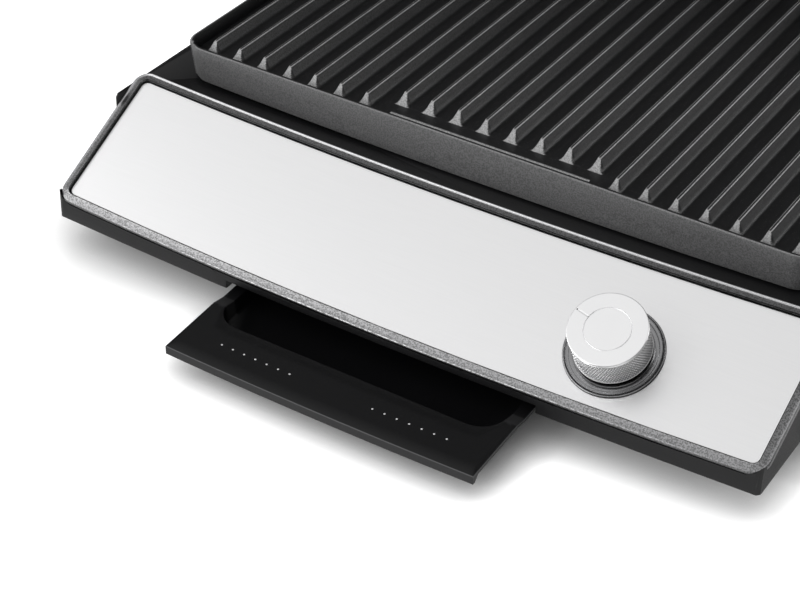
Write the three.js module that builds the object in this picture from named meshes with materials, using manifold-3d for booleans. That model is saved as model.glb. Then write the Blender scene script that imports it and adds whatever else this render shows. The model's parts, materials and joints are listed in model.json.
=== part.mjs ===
// Countertop contact grill: a ribbed cast lower plate in a moulded base with a sloping control panel,
// a drip tray that slides out under the panel, and a hinged lid that carries a second ribbed plate.
// Millimetres. X runs to the right, Y to the back and Z up; all sizes are taken with z = 0 on the
// table and y = 0 on the front inner edge of the panel's trim, and the finished model is then centred.

import * as THREE from 'three';
import { mergeVertices } from 'three/addons/utils/BufferGeometryUtils.js';
import Module from 'manifold-3d';

const wasm = await Module();
wasm.setup();

// Fits and common values
const gap = 0.3;
const cutOverrun = 2;
const wall = 2.6;
const sheet = 1;

// Control panel and its trim
const panelWidth = 340;
const panelDepth = 66.6;
const panelThickness = 1.2;
const panelSlope = THREE.MathUtils.degToRad(27.7);
const panelFrontBow = 3175;
const panelBackBow = 3745;
const trimWidth = 4.4;
const trimRise = 1.7;
const trimEdge = 0.8;
const trimFrontHeight = 26;
const trimCorner = 3;
const trimBack = trimRise * Math.sin(panelSlope) + (panelDepth + trimWidth) * Math.cos(panelSlope);

// Control nose under the panel
const noseFaceInset = 0.5;
const noseFaceHeight = 8.8;
const noseFaceTopDrop = 2.4;

// Cooking plates
const deckDrop = 0.96;
const deckMargin = 19;
const deckFrontMargin = 11.65;
const tubShoulder = 2.6;
const tubWidth = panelWidth + 2 * (trimWidth + tubShoulder);
const deckHeight = trimFrontHeight + panelDepth * Math.sin(panelSlope) - deckDrop;
const plateWidth = tubWidth - 2 * deckMargin;
const plateFront = trimBack + deckFrontMargin;
const plateDepth = 225;
const plateCorner = 12;
const plateRimWidth = 2;
const plateSkirt = 18.4;
const plateLift = 1;
const plateTop = deckHeight + plateLift + plateSkirt;
const plateFloor = 3.5;
const plateWall = 3;
const plateDraft = 1.2;
const skirtBow = 3300;
const ribPitch = 13.9;
const ribSideMargin = 3;
const ribHeight = 5.7;
const ribFoot = 8.6;
const ribCrest = 1.1;
const ribRun = 3.6;
const ribFront = 11.5;
const ribSetBack = 10.5;
const drainWidth = 108;
const drainSlot = 3.4;
const drainFromRim = 6.8;
const boltBossRadius = 5;
const boltBossSide = 16;
const boltBossFromEnd = 28;
const barWidth = 12;
const barInset = 14;
const heaterRadius = 3.2;
const heaterInset = 36;
const heaterRowInset = 31.5;
const heaterEndRadius = 8;
const heaterEndLength = 33;
const heaterHole = 7.4;
const reflectorDepth = 18;
const chuteWall = 1.2;
const chuteBottom = 24;

// Lid
const lidMargin = 14;
const lidFrontMargin = 17.3;
const lidBackMargin = 5.7;
const lidRise = 8.6;
const lidHeight = 48;
const lidWidth = plateWidth + 2 * lidMargin;
const lidFront = plateFront - lidFrontMargin;
const lidBack = plateFront + plateDepth + lidBackMargin;
const lidBottom = plateTop + lidRise;
const lidTop = lidBottom + lidHeight;
const lidFrontCorner = 22;
const lidBackCorner = 14;
const lidShoulder = 12;
const lidShoulderHeight = 9;
const lidPanelMargin = 16;
const lidPanelCorner = 14;
const plateGap = 1.8;
const openAngle = THREE.MathUtils.degToRad(100);

// Handle
const gripRadius = 9;
const gripLength = 178;
const gripSocket = 8;
const gripReach = 38;
const gripRise = 24;
const gripY = lidFront - gripReach;
const gripZ = lidBottom + gripRise;
const postWidth = 15;
const postHeight = 22;
const postRing = 3.4;

// Hinge
const hingeReach = 15;
const hingeRise = 30;
const hingeY = lidBack + hingeReach;
const hingeZ = deckHeight + hingeRise;
const hingePin = 4;
const hingeEye = 9.5;
const armInset = 12;
const armX = lidWidth / 2 - armInset;
const armWidth = 9;
const earWidth = 8;
const armPad = 5;
const armHeight = 30;

// Base tub
const tubFront = 48;
const tubBackMargin = 1.5;
const tubBack = hingeY + hingeEye + tubBackMargin;
const tubBottom = 7;
const tubFrontCorner = 3;
const tubBackCorner = 18;
const tubEdge = 3;
const tubFootDraft = 3;
const tubFootHeight = 8;
const deckStrip = 8;
const bossRadius = 5;
const bossInset = 17;
const bossFront = 38;
const glandRadius = 8;
const glandFlange = 11;
const glandLength = 12;
const glandHeight = 30;
const glandInset = 59;
const glandX = tubWidth / 2 - glandInset;
const cableBore = 3.6;
const ventCount = 9;
const ventSlotWidth = 3;
const ventHeight = 12;
const ventPitch = 8;
const ventBottom = 24;

// Feet and bottom cover
const footRadius = 9;
const footTip = 7.5;
const footNeck = 3;
const footInset = 27;
const footFrontInset = 16;
const footBackInset = 32;
const footX = tubWidth / 2 - footInset;
const coverThickness = 1.6;
const screwHead = 3.6;
const screwHeadHeight = 1.6;
const screwShank = 1.5;
const screwLength = 12;

// Knob, bezel and thermostat
const knobAlong = 27.6;
const knobRadius = 16.6;
const knobTop = 18.9;
const knobLift = 3.3;
const knobCapThickness = 1.7;
const knobWall = 2.4;
const knobHub = 6.5;
const knobHubLift = 1.2;
const knobPointerAngle = THREE.MathUtils.degToRad(77);
const pointerWidth = 1.1;
const pointerDepth = 0.5;
const capRingRadius = 9.7;
const shaftRadius = 3;
const shaftReach = 15;
const bezelRadius = 21.2;
const bezelLipHeight = 0.9;
const bezelFlange = 1.1;
const bezelDish = 17.4;
const bezelFloor = 0.8;
const thermostatWidth = 26;
const thermostatDepth = 22;
const thermostatHeight = 9;
const bracketReach = 8;

// Drip tray
const trayWidth = 150.2;
const trayTilt = THREE.MathUtils.degToRad(3.27);
const trayDropAtFace = 10;
const trayOut = 46.2;
const trayLength = 160;
const trayBow = 2410;
const trayPlateThickness = 1.6;
const trayLipHeight = 4.3;
const trayPlateDepth = 35.5;
const trayRampLength = 7;
const trayRailDrop = 1.5;
const trayFlange = 6;
const trayWall = 1.2;
const trayBasinFront = 26.4;
const trayBasinDepth = 8.4;
const trayBasinCorner = 12;
const traySlotClearance = 1.6;
const traySlotHeadroom = 2.6;
const railFoot = 10;
const railThickness = 1.2;
const railSpare = 8.4;
const knobBesideTray = 21.3;
const knobX = trayWidth / 2 + knobBesideTray;

// Shares and counts that shape outlines
const ribFlankShares = [[1, 0], [0.52, 0.16], [0.22, 0.56]];
const shoulderShares = [0, 0.3, 0.72, 1];
const half = 0.5;
const cornerSteps = 3;
const bowSteps = 8;
const roundSteps = 32;
const heaterSteps = 60;
const heaterSideSteps = 3;
const smallRoundSteps = 12;
const ribCount = 2 * Math.floor((plateWidth - 2 * ribSideMargin) / (2 * ribPitch));
const ribsSetBackCount = 2 * Math.round(drainWidth / (2 * ribPitch));

// Finishes
const finish = (color, roughness, metalness) => (
  new THREE.MeshStandardMaterial({ color, roughness, metalness })
);
const brushedMetal = finish(0xd8d8da, 0.35, 1);
const satinGrey = finish(0x77787a, 0.5, 0.4);
const blackMoulding = finish(0x1a1a1b, 0.5, 0);
const castCoating = finish(0x2b2b2c, 0.45, 0.3);
const trayBlack = finish(0x141415, 0.4, 0);
const knobMetal = finish(0xe4e4e6, 0.25, 1);
const bezelDark = finish(0x3a3a3c, 0.25, 0.6);
const plainSteel = finish(0xa9abae, 0.4, 1);
const heaterSteel = finish(0x5b5650, 0.55, 0.8);
const rubber = finish(0x101010, 0.9, 0);
const creamPlastic = finish(0xcfc9b8, 0.6, 0);

// Geometry helpers

function toSolid(geometry, matrix = new THREE.Matrix4()) {
  const bare = new THREE.BufferGeometry();
  bare.setAttribute('position', geometry.getAttribute('position').clone());
  if (geometry.index) bare.setIndex(geometry.index.clone());
  bare.applyMatrix4(matrix);
  const merged = mergeVertices(bare);
  const corners = merged.index.array;
  const kept = [];
  for (let i = 0; i < corners.length; i += 3) {
    const [a, b, c] = corners.slice(i, i + 3);
    if (a !== b && b !== c && c !== a) kept.push(a, b, c);
  }
  return new wasm.Manifold(new wasm.Mesh({
    numProp: 3,
    vertProperties: new Float32Array(merged.getAttribute('position').array),
    triVerts: new Uint32Array(kept),
  }));
}

function toGeometry(solid) {
  const mesh = solid.getMesh();
  const geometry = new THREE.BufferGeometry();
  geometry.setAttribute('position', new THREE.BufferAttribute(new Float32Array(mesh.vertProperties), 3));
  geometry.setIndex(new THREE.BufferAttribute(new Uint32Array(mesh.triVerts), 1));
  geometry.computeVertexNormals();
  return geometry;
}

// Unit vectors in the plane of a closed loop, which then runs counter-clockwise in that plane.
function planeOf(loop) {
  const normal = new THREE.Vector3();
  loop.forEach((point, i) => normal.add(point.clone().cross(loop[(i + 1) % loop.length])));
  normal.normalize();
  const across = loop[1].clone().sub(loop[0]).projectOnPlane(normal).normalize();
  return [across, normal.clone().cross(across)];
}

// A closed skin through a stack of loops with equal numbers of points, capped at both ends.
function loft(loops) {
  const count = loops[0].length;
  const index = [];
  for (let ring = 0; ring + 1 < loops.length; ring += 1) {
    for (let i = 0; i < count; i += 1) {
      const a = ring * count + i;
      const b = ring * count + (i + 1) % count;
      index.push(a, b, b + count, a, b + count, a + count);
    }
  }
  const cap = (ring, reversed) => {
    const [across, up] = planeOf(loops[ring]);
    const flat = loops[ring].map((point) => new THREE.Vector2(point.dot(across), point.dot(up)));
    for (const face of THREE.ShapeUtils.triangulateShape(flat, [])) {
      const [a, b, c] = face.map((corner) => ring * count + corner);
      index.push(...(reversed ? [c, b, a] : [a, b, c]));
    }
  };
  cap(0, true);
  cap(loops.length - 1, false);
  const geometry = new THREE.BufferGeometry().setFromPoints(loops.flat());
  geometry.setIndex(index);
  return geometry;
}

// A closed ring: the loops go once round and the last joins the first.
function ringLoft(loops) {
  const count = loops[0].length;
  const index = [];
  loops.forEach((_, ring) => {
    const following = (ring + 1) % loops.length;
    for (let i = 0; i < count; i += 1) {
      const next = (i + 1) % count;
      const [a, b] = [ring * count + i, ring * count + next];
      const [c, d] = [following * count + i, following * count + next];
      index.push(a, b, d, a, d, c);
    }
  });
  const geometry = new THREE.BufferGeometry().setFromPoints(loops.flat());
  geometry.setIndex(index);
  return geometry;
}

const bowShift = (x, radius) => (radius ? radius - Math.sqrt(radius * radius - x * x) : 0);

// Points round a rounded four-sided outline, counter-clockwise from above. Its front and back
// edges may bow forward on large radii, and grow moves the whole outline outwards.
function outline(form, z, grow = 0) {
  const right = form.halfWidth + grow;
  const front = form.front - grow;
  const back = form.back + grow;
  const points = [];
  const steps = 'frontBow' in form ? bowSteps : 1;
  const corner = (sideX, edgeY, signX, signY, radius, bow, start) => {
    for (let i = 0; i <= cornerSteps; i += 1) {
      const turn = start + (i / cornerSteps) * Math.PI * half;
      const x = sideX - signX * radius + radius * Math.cos(turn);
      const y = edgeY - signY * radius + radius * Math.sin(turn);
      points.push(new THREE.Vector3(x, y + bowShift(x, bow), z));
    }
  };
  const edge = (from, to, y, bow) => {
    for (let i = 1; i < steps; i += 1) {
      const x = THREE.MathUtils.lerp(from, to, i / steps);
      points.push(new THREE.Vector3(x, y + bowShift(x, bow), z));
    }
  };
  const rf = Math.max(form.frontRadius + grow, gap);
  const rb = Math.max(form.backRadius + grow, gap);
  edge(rf - right, right - rf, front, form.frontBow);
  corner(right, front, 1, -1, rf, form.frontBow, -Math.PI * half);
  corner(right, back, 1, 1, rb, form.backBow, 0);
  edge(right - rb, rb - right, back, form.backBow);
  corner(-right, back, -1, 1, rb, form.backBow, Math.PI * half);
  corner(-right, front, -1, -1, rf, form.frontBow, Math.PI);
  return points;
}

const prism = (form, bottom, top, grow = 0) => loft([outline(form, bottom, grow), outline(form, top, grow)]);

// A profile drawn in the Y-Z plane and drawn out along X from one x to another.
function alongX(profile, from, to) {
  const shape = new THREE.Shape(profile.map(([y, z]) => new THREE.Vector2(y, z)));
  const geometry = new THREE.ExtrudeGeometry(shape, { depth: to - from, bevelEnabled: false });
  geometry.applyMatrix4(new THREE.Matrix4().makeBasis(
    new THREE.Vector3(0, 1, 0),
    new THREE.Vector3(0, 0, 1),
    new THREE.Vector3(1, 0, 0),
  ));
  geometry.translate(from, 0, 0);
  return geometry;
}

function block(x0, x1, y0, y1, z0, z1) {
  const geometry = new THREE.BoxGeometry(x1 - x0, y1 - y0, z1 - z0);
  geometry.translate((x0 + x1) * half, (y0 + y1) * half, (z0 + z1) * half);
  return geometry;
}

// A turned piece about Z from [radius, height] points that start and end on the axis.
function turned(profile, steps = roundSteps) {
  const geometry = new THREE.LatheGeometry(profile.map(([r, h]) => new THREE.Vector2(r, h)), steps);
  geometry.rotateX(Math.PI * half);
  return geometry;
}

function disc(radius, bottom, top, steps = roundSteps) {
  return turned([
    [0, bottom],
    [radius, bottom],
    [radius, top],
    [0, top],
  ], steps);
}

// A turned ring whose profile, counter-clockwise in radius and height, closes clear of the axis.
function turnedRing(profile, steps = roundSteps) {
  const loops = [];
  for (let i = 0; i < steps; i += 1) {
    const turn = -(i / steps) * Math.PI * 2;
    loops.push(profile.map(([r, h]) => new THREE.Vector3(r * Math.cos(turn), r * Math.sin(turn), h)));
  }
  return ringLoft(loops);
}

// A rod along X.
function rodX(radius, from, to, y, z, steps = smallRoundSteps) {
  const geometry = new THREE.CylinderGeometry(radius, radius, to - from, steps);
  geometry.rotateZ(-Math.PI * half);
  geometry.translate((from + to) * half, y, z);
  return geometry;
}

const at = (x, y, z) => new THREE.Matrix4().makeTranslation(x, y, z);

// A small upright cylinder at a place on the plan.
function pegAt(radius, bottom, top, x, y) {
  return toSolid(disc(radius, bottom, top, smallRoundSteps), at(x, y, 0));
}

const sides = [['left', -1], ['right', 1]];

// Control panel group: its own plane is the panel's outer face, y runs up the slope from the trim's
// front inner edge, and z is the outward normal.
const panelFrame = new THREE.Matrix4().makeRotationX(panelSlope).setPosition(
  0,
  trimRise * Math.sin(panelSlope),
  trimFrontHeight - trimRise * Math.cos(panelSlope),
);
const panelForm = {
  halfWidth: panelWidth * half,
  front: 0,
  back: panelDepth,
  frontRadius: trimCorner,
  backRadius: trimCorner,
  frontBow: panelFrontBow,
  backBow: panelBackBow,
};
const seatLevel = -panelThickness - gap;
const noseSkin = seatLevel - wall;

// Drip tray group: its own plane is the front plate's top, y runs along the slide to the back.
const noseFaceY = -trimWidth * Math.cos(panelSlope) + noseFaceInset;
const railEnd = noseFaceY + trayLength + railSpare;
const trayFrame = new THREE.Matrix4().makeRotationX(trayTilt).setPosition(
  0,
  noseFaceY,
  trimFrontHeight - trayDropAtFace,
);

function makePanel() {
  const plate = toSolid(prism(panelForm, -panelThickness, 0, -gap));
  const hole = disc(bezelRadius - bezelFlange + gap, -panelThickness - cutOverrun, cutOverrun);
  return toGeometry(plate.subtract(toSolid(hole, at(knobX, knobAlong, 0))));
}

function makeTrim() {
  const bottom = -panelThickness;
  const profile = [
    [0, bottom],
    [trimWidth, bottom],
    [trimWidth, trimRise - trimEdge],
    [trimWidth - trimEdge, trimRise],
    [gap, trimRise],
    [0, trimRise - gap],
  ];
  return ringLoft(profile.map(([grow, level]) => outline(panelForm, level, grow)));
}

// Base housing: tub and control nose in one moulding, open below

const tubForm = {
  halfWidth: tubWidth * half,
  front: tubFront,
  back: tubBack,
  frontRadius: tubFrontCorner,
  backRadius: tubBackCorner,
};
const noseForm = {
  halfWidth: panelWidth * half + trimWidth - noseFaceInset,
  front: noseFaceY,
  back: tubFront + wall,
  frontRadius: trimCorner,
  backRadius: trimCorner,
  frontBow: panelFrontBow,
  backBow: 0,
};
const noseBottom = trimFrontHeight - noseFaceTopDrop - noseFaceHeight;
const plateForm = {
  halfWidth: plateWidth * half,
  front: plateFront,
  back: plateFront + plateDepth,
  frontRadius: plateCorner,
  backRadius: plateCorner,
};
const skirtInside = plateDraft + plateWall;
const wellForm = { ...plateForm };
const wellGrow = -skirtInside - deckStrip;
const drainY = plateFront + drainFromRim;
const chuteForm = {
  halfWidth: (drainWidth + drainSlot) * half + chuteWall,
  front: drainY - chuteWall,
  back: drainY + drainSlot + chuteWall,
  frontRadius: chuteWall,
  backRadius: chuteWall,
};
const traySlotHalf = trayWidth * half + traySlotClearance;
const bossPlaces = sides.flatMap(([, side]) => [tubFront + bossFront, tubBack - bossInset].map((y) => [
  side * (tubWidth * half - bossInset),
  y,
]));

// The tray tunnel: the space under a roof that runs parallel to the tray.
function tunnel(grow, from, to) {
  const reach = traySlotHalf + grow;
  const space = block(-reach, reach, from, to, -deckHeight, traySlotHeadroom + grow);
  return toSolid(space, trayFrame);
}

function hingeEars() {
  const ears = [];
  for (const [, side] of sides) {
    for (const inner of [armX - gap - earWidth, armX + armWidth + gap]) {
      const x0 = side > 0 ? inner : -inner - earWidth;
      const ear = toSolid(rodX(hingeEye, x0, x0 + earWidth, hingeY, hingeZ, roundSteps * half));
      const stem = block(
        x0,
        x0 + earWidth,
        hingeY - hingeEye,
        hingeY + hingeEye,
        deckHeight - wall,
        hingeZ,
      );
      ears.push(ear.add(toSolid(stem)));
    }
  }
  return ears;
}

function makeBaseHousing() {
  const tubOuter = toSolid(loft([
    outline(tubForm, tubBottom, -tubFootDraft),
    outline(tubForm, tubBottom + tubFootHeight, 0),
    outline(tubForm, deckHeight - tubEdge, 0),
    outline(tubForm, deckHeight - tubEdge * (1 - Math.SQRT1_2), -tubEdge * (1 - Math.SQRT1_2)),
    outline(tubForm, deckHeight, -tubEdge),
  ]));
  const noseOuter = toSolid(prism(noseForm, noseBottom, deckHeight));
  const above = deckHeight + panelDepth;
  const trimSpace = toSolid(prism(panelForm, seatLevel, above, trimWidth + gap), panelFrame);
  const skinSpace = toSolid(prism(panelForm, noseSkin, above, trimWidth + wall + gap), panelFrame);
  const tubInner = toSolid(loft([
    outline(tubForm, tubBottom - cutOverrun, -wall - tubFootDraft),
    outline(tubForm, tubBottom, -wall - tubFootDraft),
    outline(tubForm, tubBottom + tubFootHeight, -wall),
    outline(tubForm, deckHeight - wall, -wall),
  ]));
  const noseInnerForm = { ...noseForm, back: tubFront + 2 * wall + cutOverrun };
  const noseInner = toSolid(prism(noseInnerForm, noseBottom + wall, deckHeight, -wall));
  const tunnelWalls = tunnel(wall, -tubFront, tubFront + wall - noseFaceY);
  const tunnelSpace = tunnel(0, -tubFront, tubFront + wall + cutOverrun - noseFaceY);
  const tubFrontInner = toSolid(block(
    -tubWidth,
    tubWidth,
    tubFront,
    tubFront + wall,
    tubBottom - cutOverrun,
    noseBottom + wall,
  ));
  const cavity = tubInner.add(noseInner).subtract(skinSpace).subtract(tunnelWalls).subtract(tubFrontInner);
  let housing = tubOuter.add(noseOuter).subtract(trimSpace).subtract(cavity).subtract(tunnelSpace);
  const deckCut = [deckHeight - wall - cutOverrun, deckHeight + cutOverrun];
  housing = housing.subtract(toSolid(prism(wellForm, ...deckCut, wellGrow)));
  housing = housing.subtract(toSolid(prism(chuteForm, ...deckCut, gap)));
  for (const [x, y] of bossPlaces) {
    const coverTop = tubBottom + coverThickness;
    const boss = pegAt(bossRadius, coverTop + gap, deckHeight - wall * half, x, y);
    const bore = pegAt(screwShank + gap, tubBottom - cutOverrun, coverTop + screwLength, x, y);
    housing = housing.add(boss).subtract(bore);
  }
  for (const ear of hingeEars()) housing = housing.add(ear);
  housing = housing.subtract(toSolid(rodX(hingePin + gap, -tubWidth, tubWidth, hingeY, hingeZ)));
  const shaftHole = pegAt(shaftRadius + gap, noseSkin - cutOverrun, cutOverrun, knobX, knobAlong);
  housing = housing.subtract(shaftHole.transform(panelFrame.elements));
  const glandBore = new THREE.CylinderGeometry(
    glandRadius + gap,
    glandRadius + gap,
    wall * 2 + cutOverrun,
    smallRoundSteps,
  );
  housing = housing.subtract(toSolid(glandBore, at(glandX, tubBack - wall * half, glandHeight)));
  for (let i = 0; i < ventCount; i += 1) {
    const x = (i - (ventCount - 1) * half) * ventPitch;
    housing = housing.subtract(toSolid(block(
      x - ventSlotWidth * half,
      x + ventSlotWidth * half,
      tubBack - wall - cutOverrun,
      tubBack + cutOverrun,
      ventBottom,
      ventBottom + ventHeight,
    )));
  }
  return toGeometry(housing);
}

const coverGrow = -wall - gap - tubFootDraft;

function makeBottomCover() {
  let cover = toSolid(prism(tubForm, tubBottom, tubBottom + coverThickness, coverGrow));
  for (const [x, y] of footPlaces()) {
    cover = cover.subtract(pegAt(footNeck + gap, 0, deckHeight, x, y));
  }
  for (const [x, y] of bossPlaces) {
    cover = cover.subtract(pegAt(screwShank + gap, 0, deckHeight, x, y));
  }
  for (let i = 0; i < ventCount; i += 1) {
    const x = (i - (ventCount - 1) * half) * ventPitch;
    const y = tubBack - ventHeight * 2 - wall;
    cover = cover.subtract(toSolid(block(
      x - ventSlotWidth * half,
      x + ventSlotWidth * half,
      y - ventHeight * 2,
      y,
      0,
      deckHeight,
    )));
  }
  return toGeometry(cover);
}

function footPlaces() {
  const rows = [tubFront + footFrontInset, tubBack - footBackInset];
  return sides.flatMap(([, side]) => rows.map((y) => [side * footX, y]));
}

function makeFoot() {
  return turned([
    [0, 0],
    [footTip, 0],
    [footRadius, tubBottom * half],
    [footRadius, tubBottom - gap],
    [footNeck, tubBottom - gap],
    [footNeck, tubBottom + coverThickness + gap],
    [0, tubBottom + coverThickness + gap],
  ], smallRoundSteps);
}

function makeCoverScrew() {
  return turned([
    [0, -screwHeadHeight],
    [screwHead, -screwHeadHeight],
    [screwHead, -gap],
    [screwShank, -gap],
    [screwShank, screwLength],
    [0, screwLength],
  ], smallRoundSteps);
}

function makeGland() {
  const geometry = turnedRing([
    [cableBore, -glandLength],
    [glandRadius, -glandLength],
    [glandRadius, gap],
    [glandFlange, gap],
    [glandFlange, wall],
    [cableBore + wall, glandLength],
    [cableBore, glandLength],
  ], smallRoundSteps);
  geometry.rotateX(-Math.PI * half);
  return geometry;
}

// Knob group: z along the knob's axis, z = 0 on the panel's face

function makeBezel() {
  const cup = bezelRadius - bezelFlange;
  const floor = seatLevel + gap + bezelFloor;
  return turnedRing([
    [shaftRadius + gap, seatLevel + gap],
    [cup, seatLevel + gap],
    [cup, gap],
    [bezelRadius, gap],
    [bezelRadius, bezelLipHeight * half],
    [bezelRadius - bezelFlange * half, bezelLipHeight],
    [cup - bezelFlange * half, bezelLipHeight * half],
    [bezelDish, floor],
    [shaftRadius + gap, floor],
  ]);
}

const sleeveTop = knobTop - knobCapThickness - gap;

function makeKnobSleeve() {
  const bore = shaftRadius + gap;
  const ceiling = sleeveTop - knobWall;
  return turned([
    [0, shaftReach + gap],
    [bore, shaftReach + gap],
    [bore, knobLift + knobHubLift],
    [knobHub, knobLift + knobHubLift],
    [knobHub, ceiling],
    [knobRadius - knobWall, ceiling],
    [knobRadius - knobWall, knobLift],
    [knobRadius, knobLift],
    [knobRadius, sleeveTop],
    [0, sleeveTop],
  ]);
}

function makeKnobCap() {
  const edge = knobCapThickness * half * half;
  let cap = toSolid(turned([
    [0, sleeveTop + gap],
    [knobRadius, sleeveTop + gap],
    [knobRadius, knobTop - edge],
    [knobRadius - edge, knobTop],
    [0, knobTop],
  ]));
  const ring = turnedRing([
    [capRingRadius - pointerDepth * half, knobTop + cutOverrun],
    [capRingRadius - pointerDepth * half, knobTop - pointerDepth],
    [capRingRadius + pointerDepth * half, knobTop - pointerDepth],
    [capRingRadius + pointerDepth * half, knobTop + cutOverrun],
  ]);
  cap = cap.subtract(toSolid(ring));
  const pointer = block(
    -pointerWidth * half,
    pointerWidth * half,
    capRingRadius,
    knobRadius + cutOverrun,
    knobTop - pointerDepth,
    knobTop + cutOverrun,
  );
  return toGeometry(cap.subtract(toSolid(pointer)));
}

const thermostatTop = noseSkin - gap - sheet - gap;

function makeShaft() {
  return disc(shaftRadius, thermostatTop + gap, shaftReach, smallRoundSteps);
}

function makeThermostatBracket() {
  const reach = thermostatWidth * half + bracketReach;
  const strap = toSolid(block(
    -reach,
    reach,
    -thermostatDepth * half,
    thermostatDepth * half,
    thermostatTop + gap,
    noseSkin - gap,
  ));
  return toGeometry(strap.subtract(pegAt(shaftRadius + gap, thermostatTop - cutOverrun, 0, 0, 0)));
}

function makeThermostat() {
  const form = {
    halfWidth: thermostatWidth * half,
    front: -thermostatDepth * half,
    back: thermostatDepth * half,
    frontRadius: wall,
    backRadius: wall,
  };
  return prism(form, thermostatTop - thermostatHeight, thermostatTop);
}

// Drip tray, drawn in the tray's own frame with its front edge pulled out by trayOut

const trayFront = -trayOut;
const trayBack = trayFront + trayLength;
const basinForm = {
  halfWidth: trayWidth * half - trayFlange,
  front: trayFront + trayBasinFront,
  back: trayBack - trayFlange * half,
  frontRadius: trayBasinCorner,
  backRadius: trayBasinCorner,
};

function makeDripTray() {
  const rampTop = trayFront + trayPlateDepth;
  const railUnder = -trayRailDrop - trayWall;
  const profile = [
    [trayFront, -trayLipHeight],
    [trayFront + trayPlateThickness, -trayLipHeight],
    [trayFront + trayPlateThickness, -trayPlateThickness],
    [rampTop, -trayPlateThickness],
    [rampTop + trayRampLength, railUnder],
    [trayBack, railUnder],
    [trayBack, -trayRailDrop],
    [rampTop + trayRampLength, -trayRailDrop],
    [rampTop, 0],
    [trayFront, 0],
  ];
  const reach = trayWidth * half;
  const loops = [];
  for (let i = 0; i <= bowSteps; i += 1) {
    const x = THREE.MathUtils.lerp(-reach, reach, i / bowSteps);
    const shift = bowShift(x, trayBow);
    loops.push(profile.map(([y, z], corner) => {
      const bowed = corner < 3 || corner === profile.length - 1 ? shift : 0;
      return new THREE.Vector3(x, y + bowed, z);
    }));
  }
  const plate = toSolid(loft(loops));
  const bottom = -trayRailDrop - trayBasinDepth + trayWall;
  const pan = toSolid(loft([
    outline(basinForm, bottom - trayWall, 0),
    outline(basinForm, -trayPlateThickness * half, trayWall),
  ]));
  const hollow = toSolid(loft([
    outline(basinForm, bottom, -trayWall),
    outline(basinForm, cutOverrun, gap * half),
  ]));
  return toGeometry(plate.add(pan.subtract(toSolid(block(
    -trayWidth,
    trayWidth,
    rampTop + trayRampLength,
    trayBack + trayWidth,
    -trayRailDrop,
    trayWidth,
  )))).subtract(hollow));
}

// A runner under each side flange: a channel that the flange slides in, on two legs.
function makeTrayRail(side) {
  const inner = trayWidth * half - trayFlange + trayWall + gap * 2;
  const outer = traySlotHalf + railThickness;
  const under = -trayRailDrop - trayWall - gap;
  const start = tubFront + wall * 2 + gap;
  const from = start - noseFaceY;
  const to = railEnd - noseFaceY;
  const channel = (x0, x1, z0, z1, y0 = from, y1 = to) => {
    const [a, b] = side > 0 ? [x0, x1] : [-x1, -x0];
    return toSolid(block(a, b, y0, y1, z0, z1));
  };
  let rail = channel(inner, outer, under - railThickness, under);
  rail = rail.add(channel(traySlotHalf, outer, under - railThickness, gap + railThickness));
  rail = rail.add(channel(traySlotHalf - trayFlange * half, outer, gap, gap + railThickness));
  rail = rail.transform(trayFrame.elements);
  const floor = tubBottom + coverThickness + gap;
  for (const y of [start, railEnd - railFoot * 2]) {
    const [x0, x1] = side > 0 ? [traySlotHalf, outer] : [-outer, -traySlotHalf];
    const top = trimFrontHeight - trayDropAtFace + under + (y - noseFaceY) * Math.tan(trayTilt);
    rail = rail.add(toSolid(block(x0, x1, y, y + railFoot, floor, top)));
    const [f0, f1] = side > 0 ? [traySlotHalf, outer + railFoot] : [-outer - railFoot, -traySlotHalf];
    rail = rail.add(toSolid(block(f0, f1, y, y + railFoot, floor, floor + railThickness)));
  }
  return toGeometry(rail);
}

// Ribbed cast plate, drawn with its rim's top at z = 0 and its front edge at y = 0

const castForm = {
  halfWidth: plateWidth * half,
  front: 0,
  back: plateDepth,
  frontRadius: plateCorner,
  backRadius: plateCorner,
  frontBow: 0,
};
const castFloor = -ribHeight;
const castUnder = castFloor - plateFloor;
const bossY = [boltBossFromEnd, plateDepth - boltBossFromEnd];
const bossX = plateWidth * half - boltBossSide;
const bossEnd = deckHeight + sheet * 2 + gap * 3 - plateTop;

// One rib: a concave-sided section carried along Y, with both ends cut back on a slant.
function makeRib(x, front, back) {
  const side = ribFlankShares.map(([width, height]) => [
    ribCrest * half + width * (ribFoot - ribCrest) * half,
    height * ribHeight,
  ]);
  const rightSide = [[side[0][0], -plateFloor * half], ...side, [ribCrest * half, ribHeight]];
  const section = [...rightSide, ...rightSide.map(([across, height]) => [-across, height]).reverse()];
  const end = (y, run) => section.map(([across, height]) => new THREE.Vector3(
    x + across,
    y + run * (1 - Math.max(height, 0) / ribHeight),
    castFloor + height,
  ));
  return toSolid(loft([end(back, ribRun), end(front, -ribRun)]));
}

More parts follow.
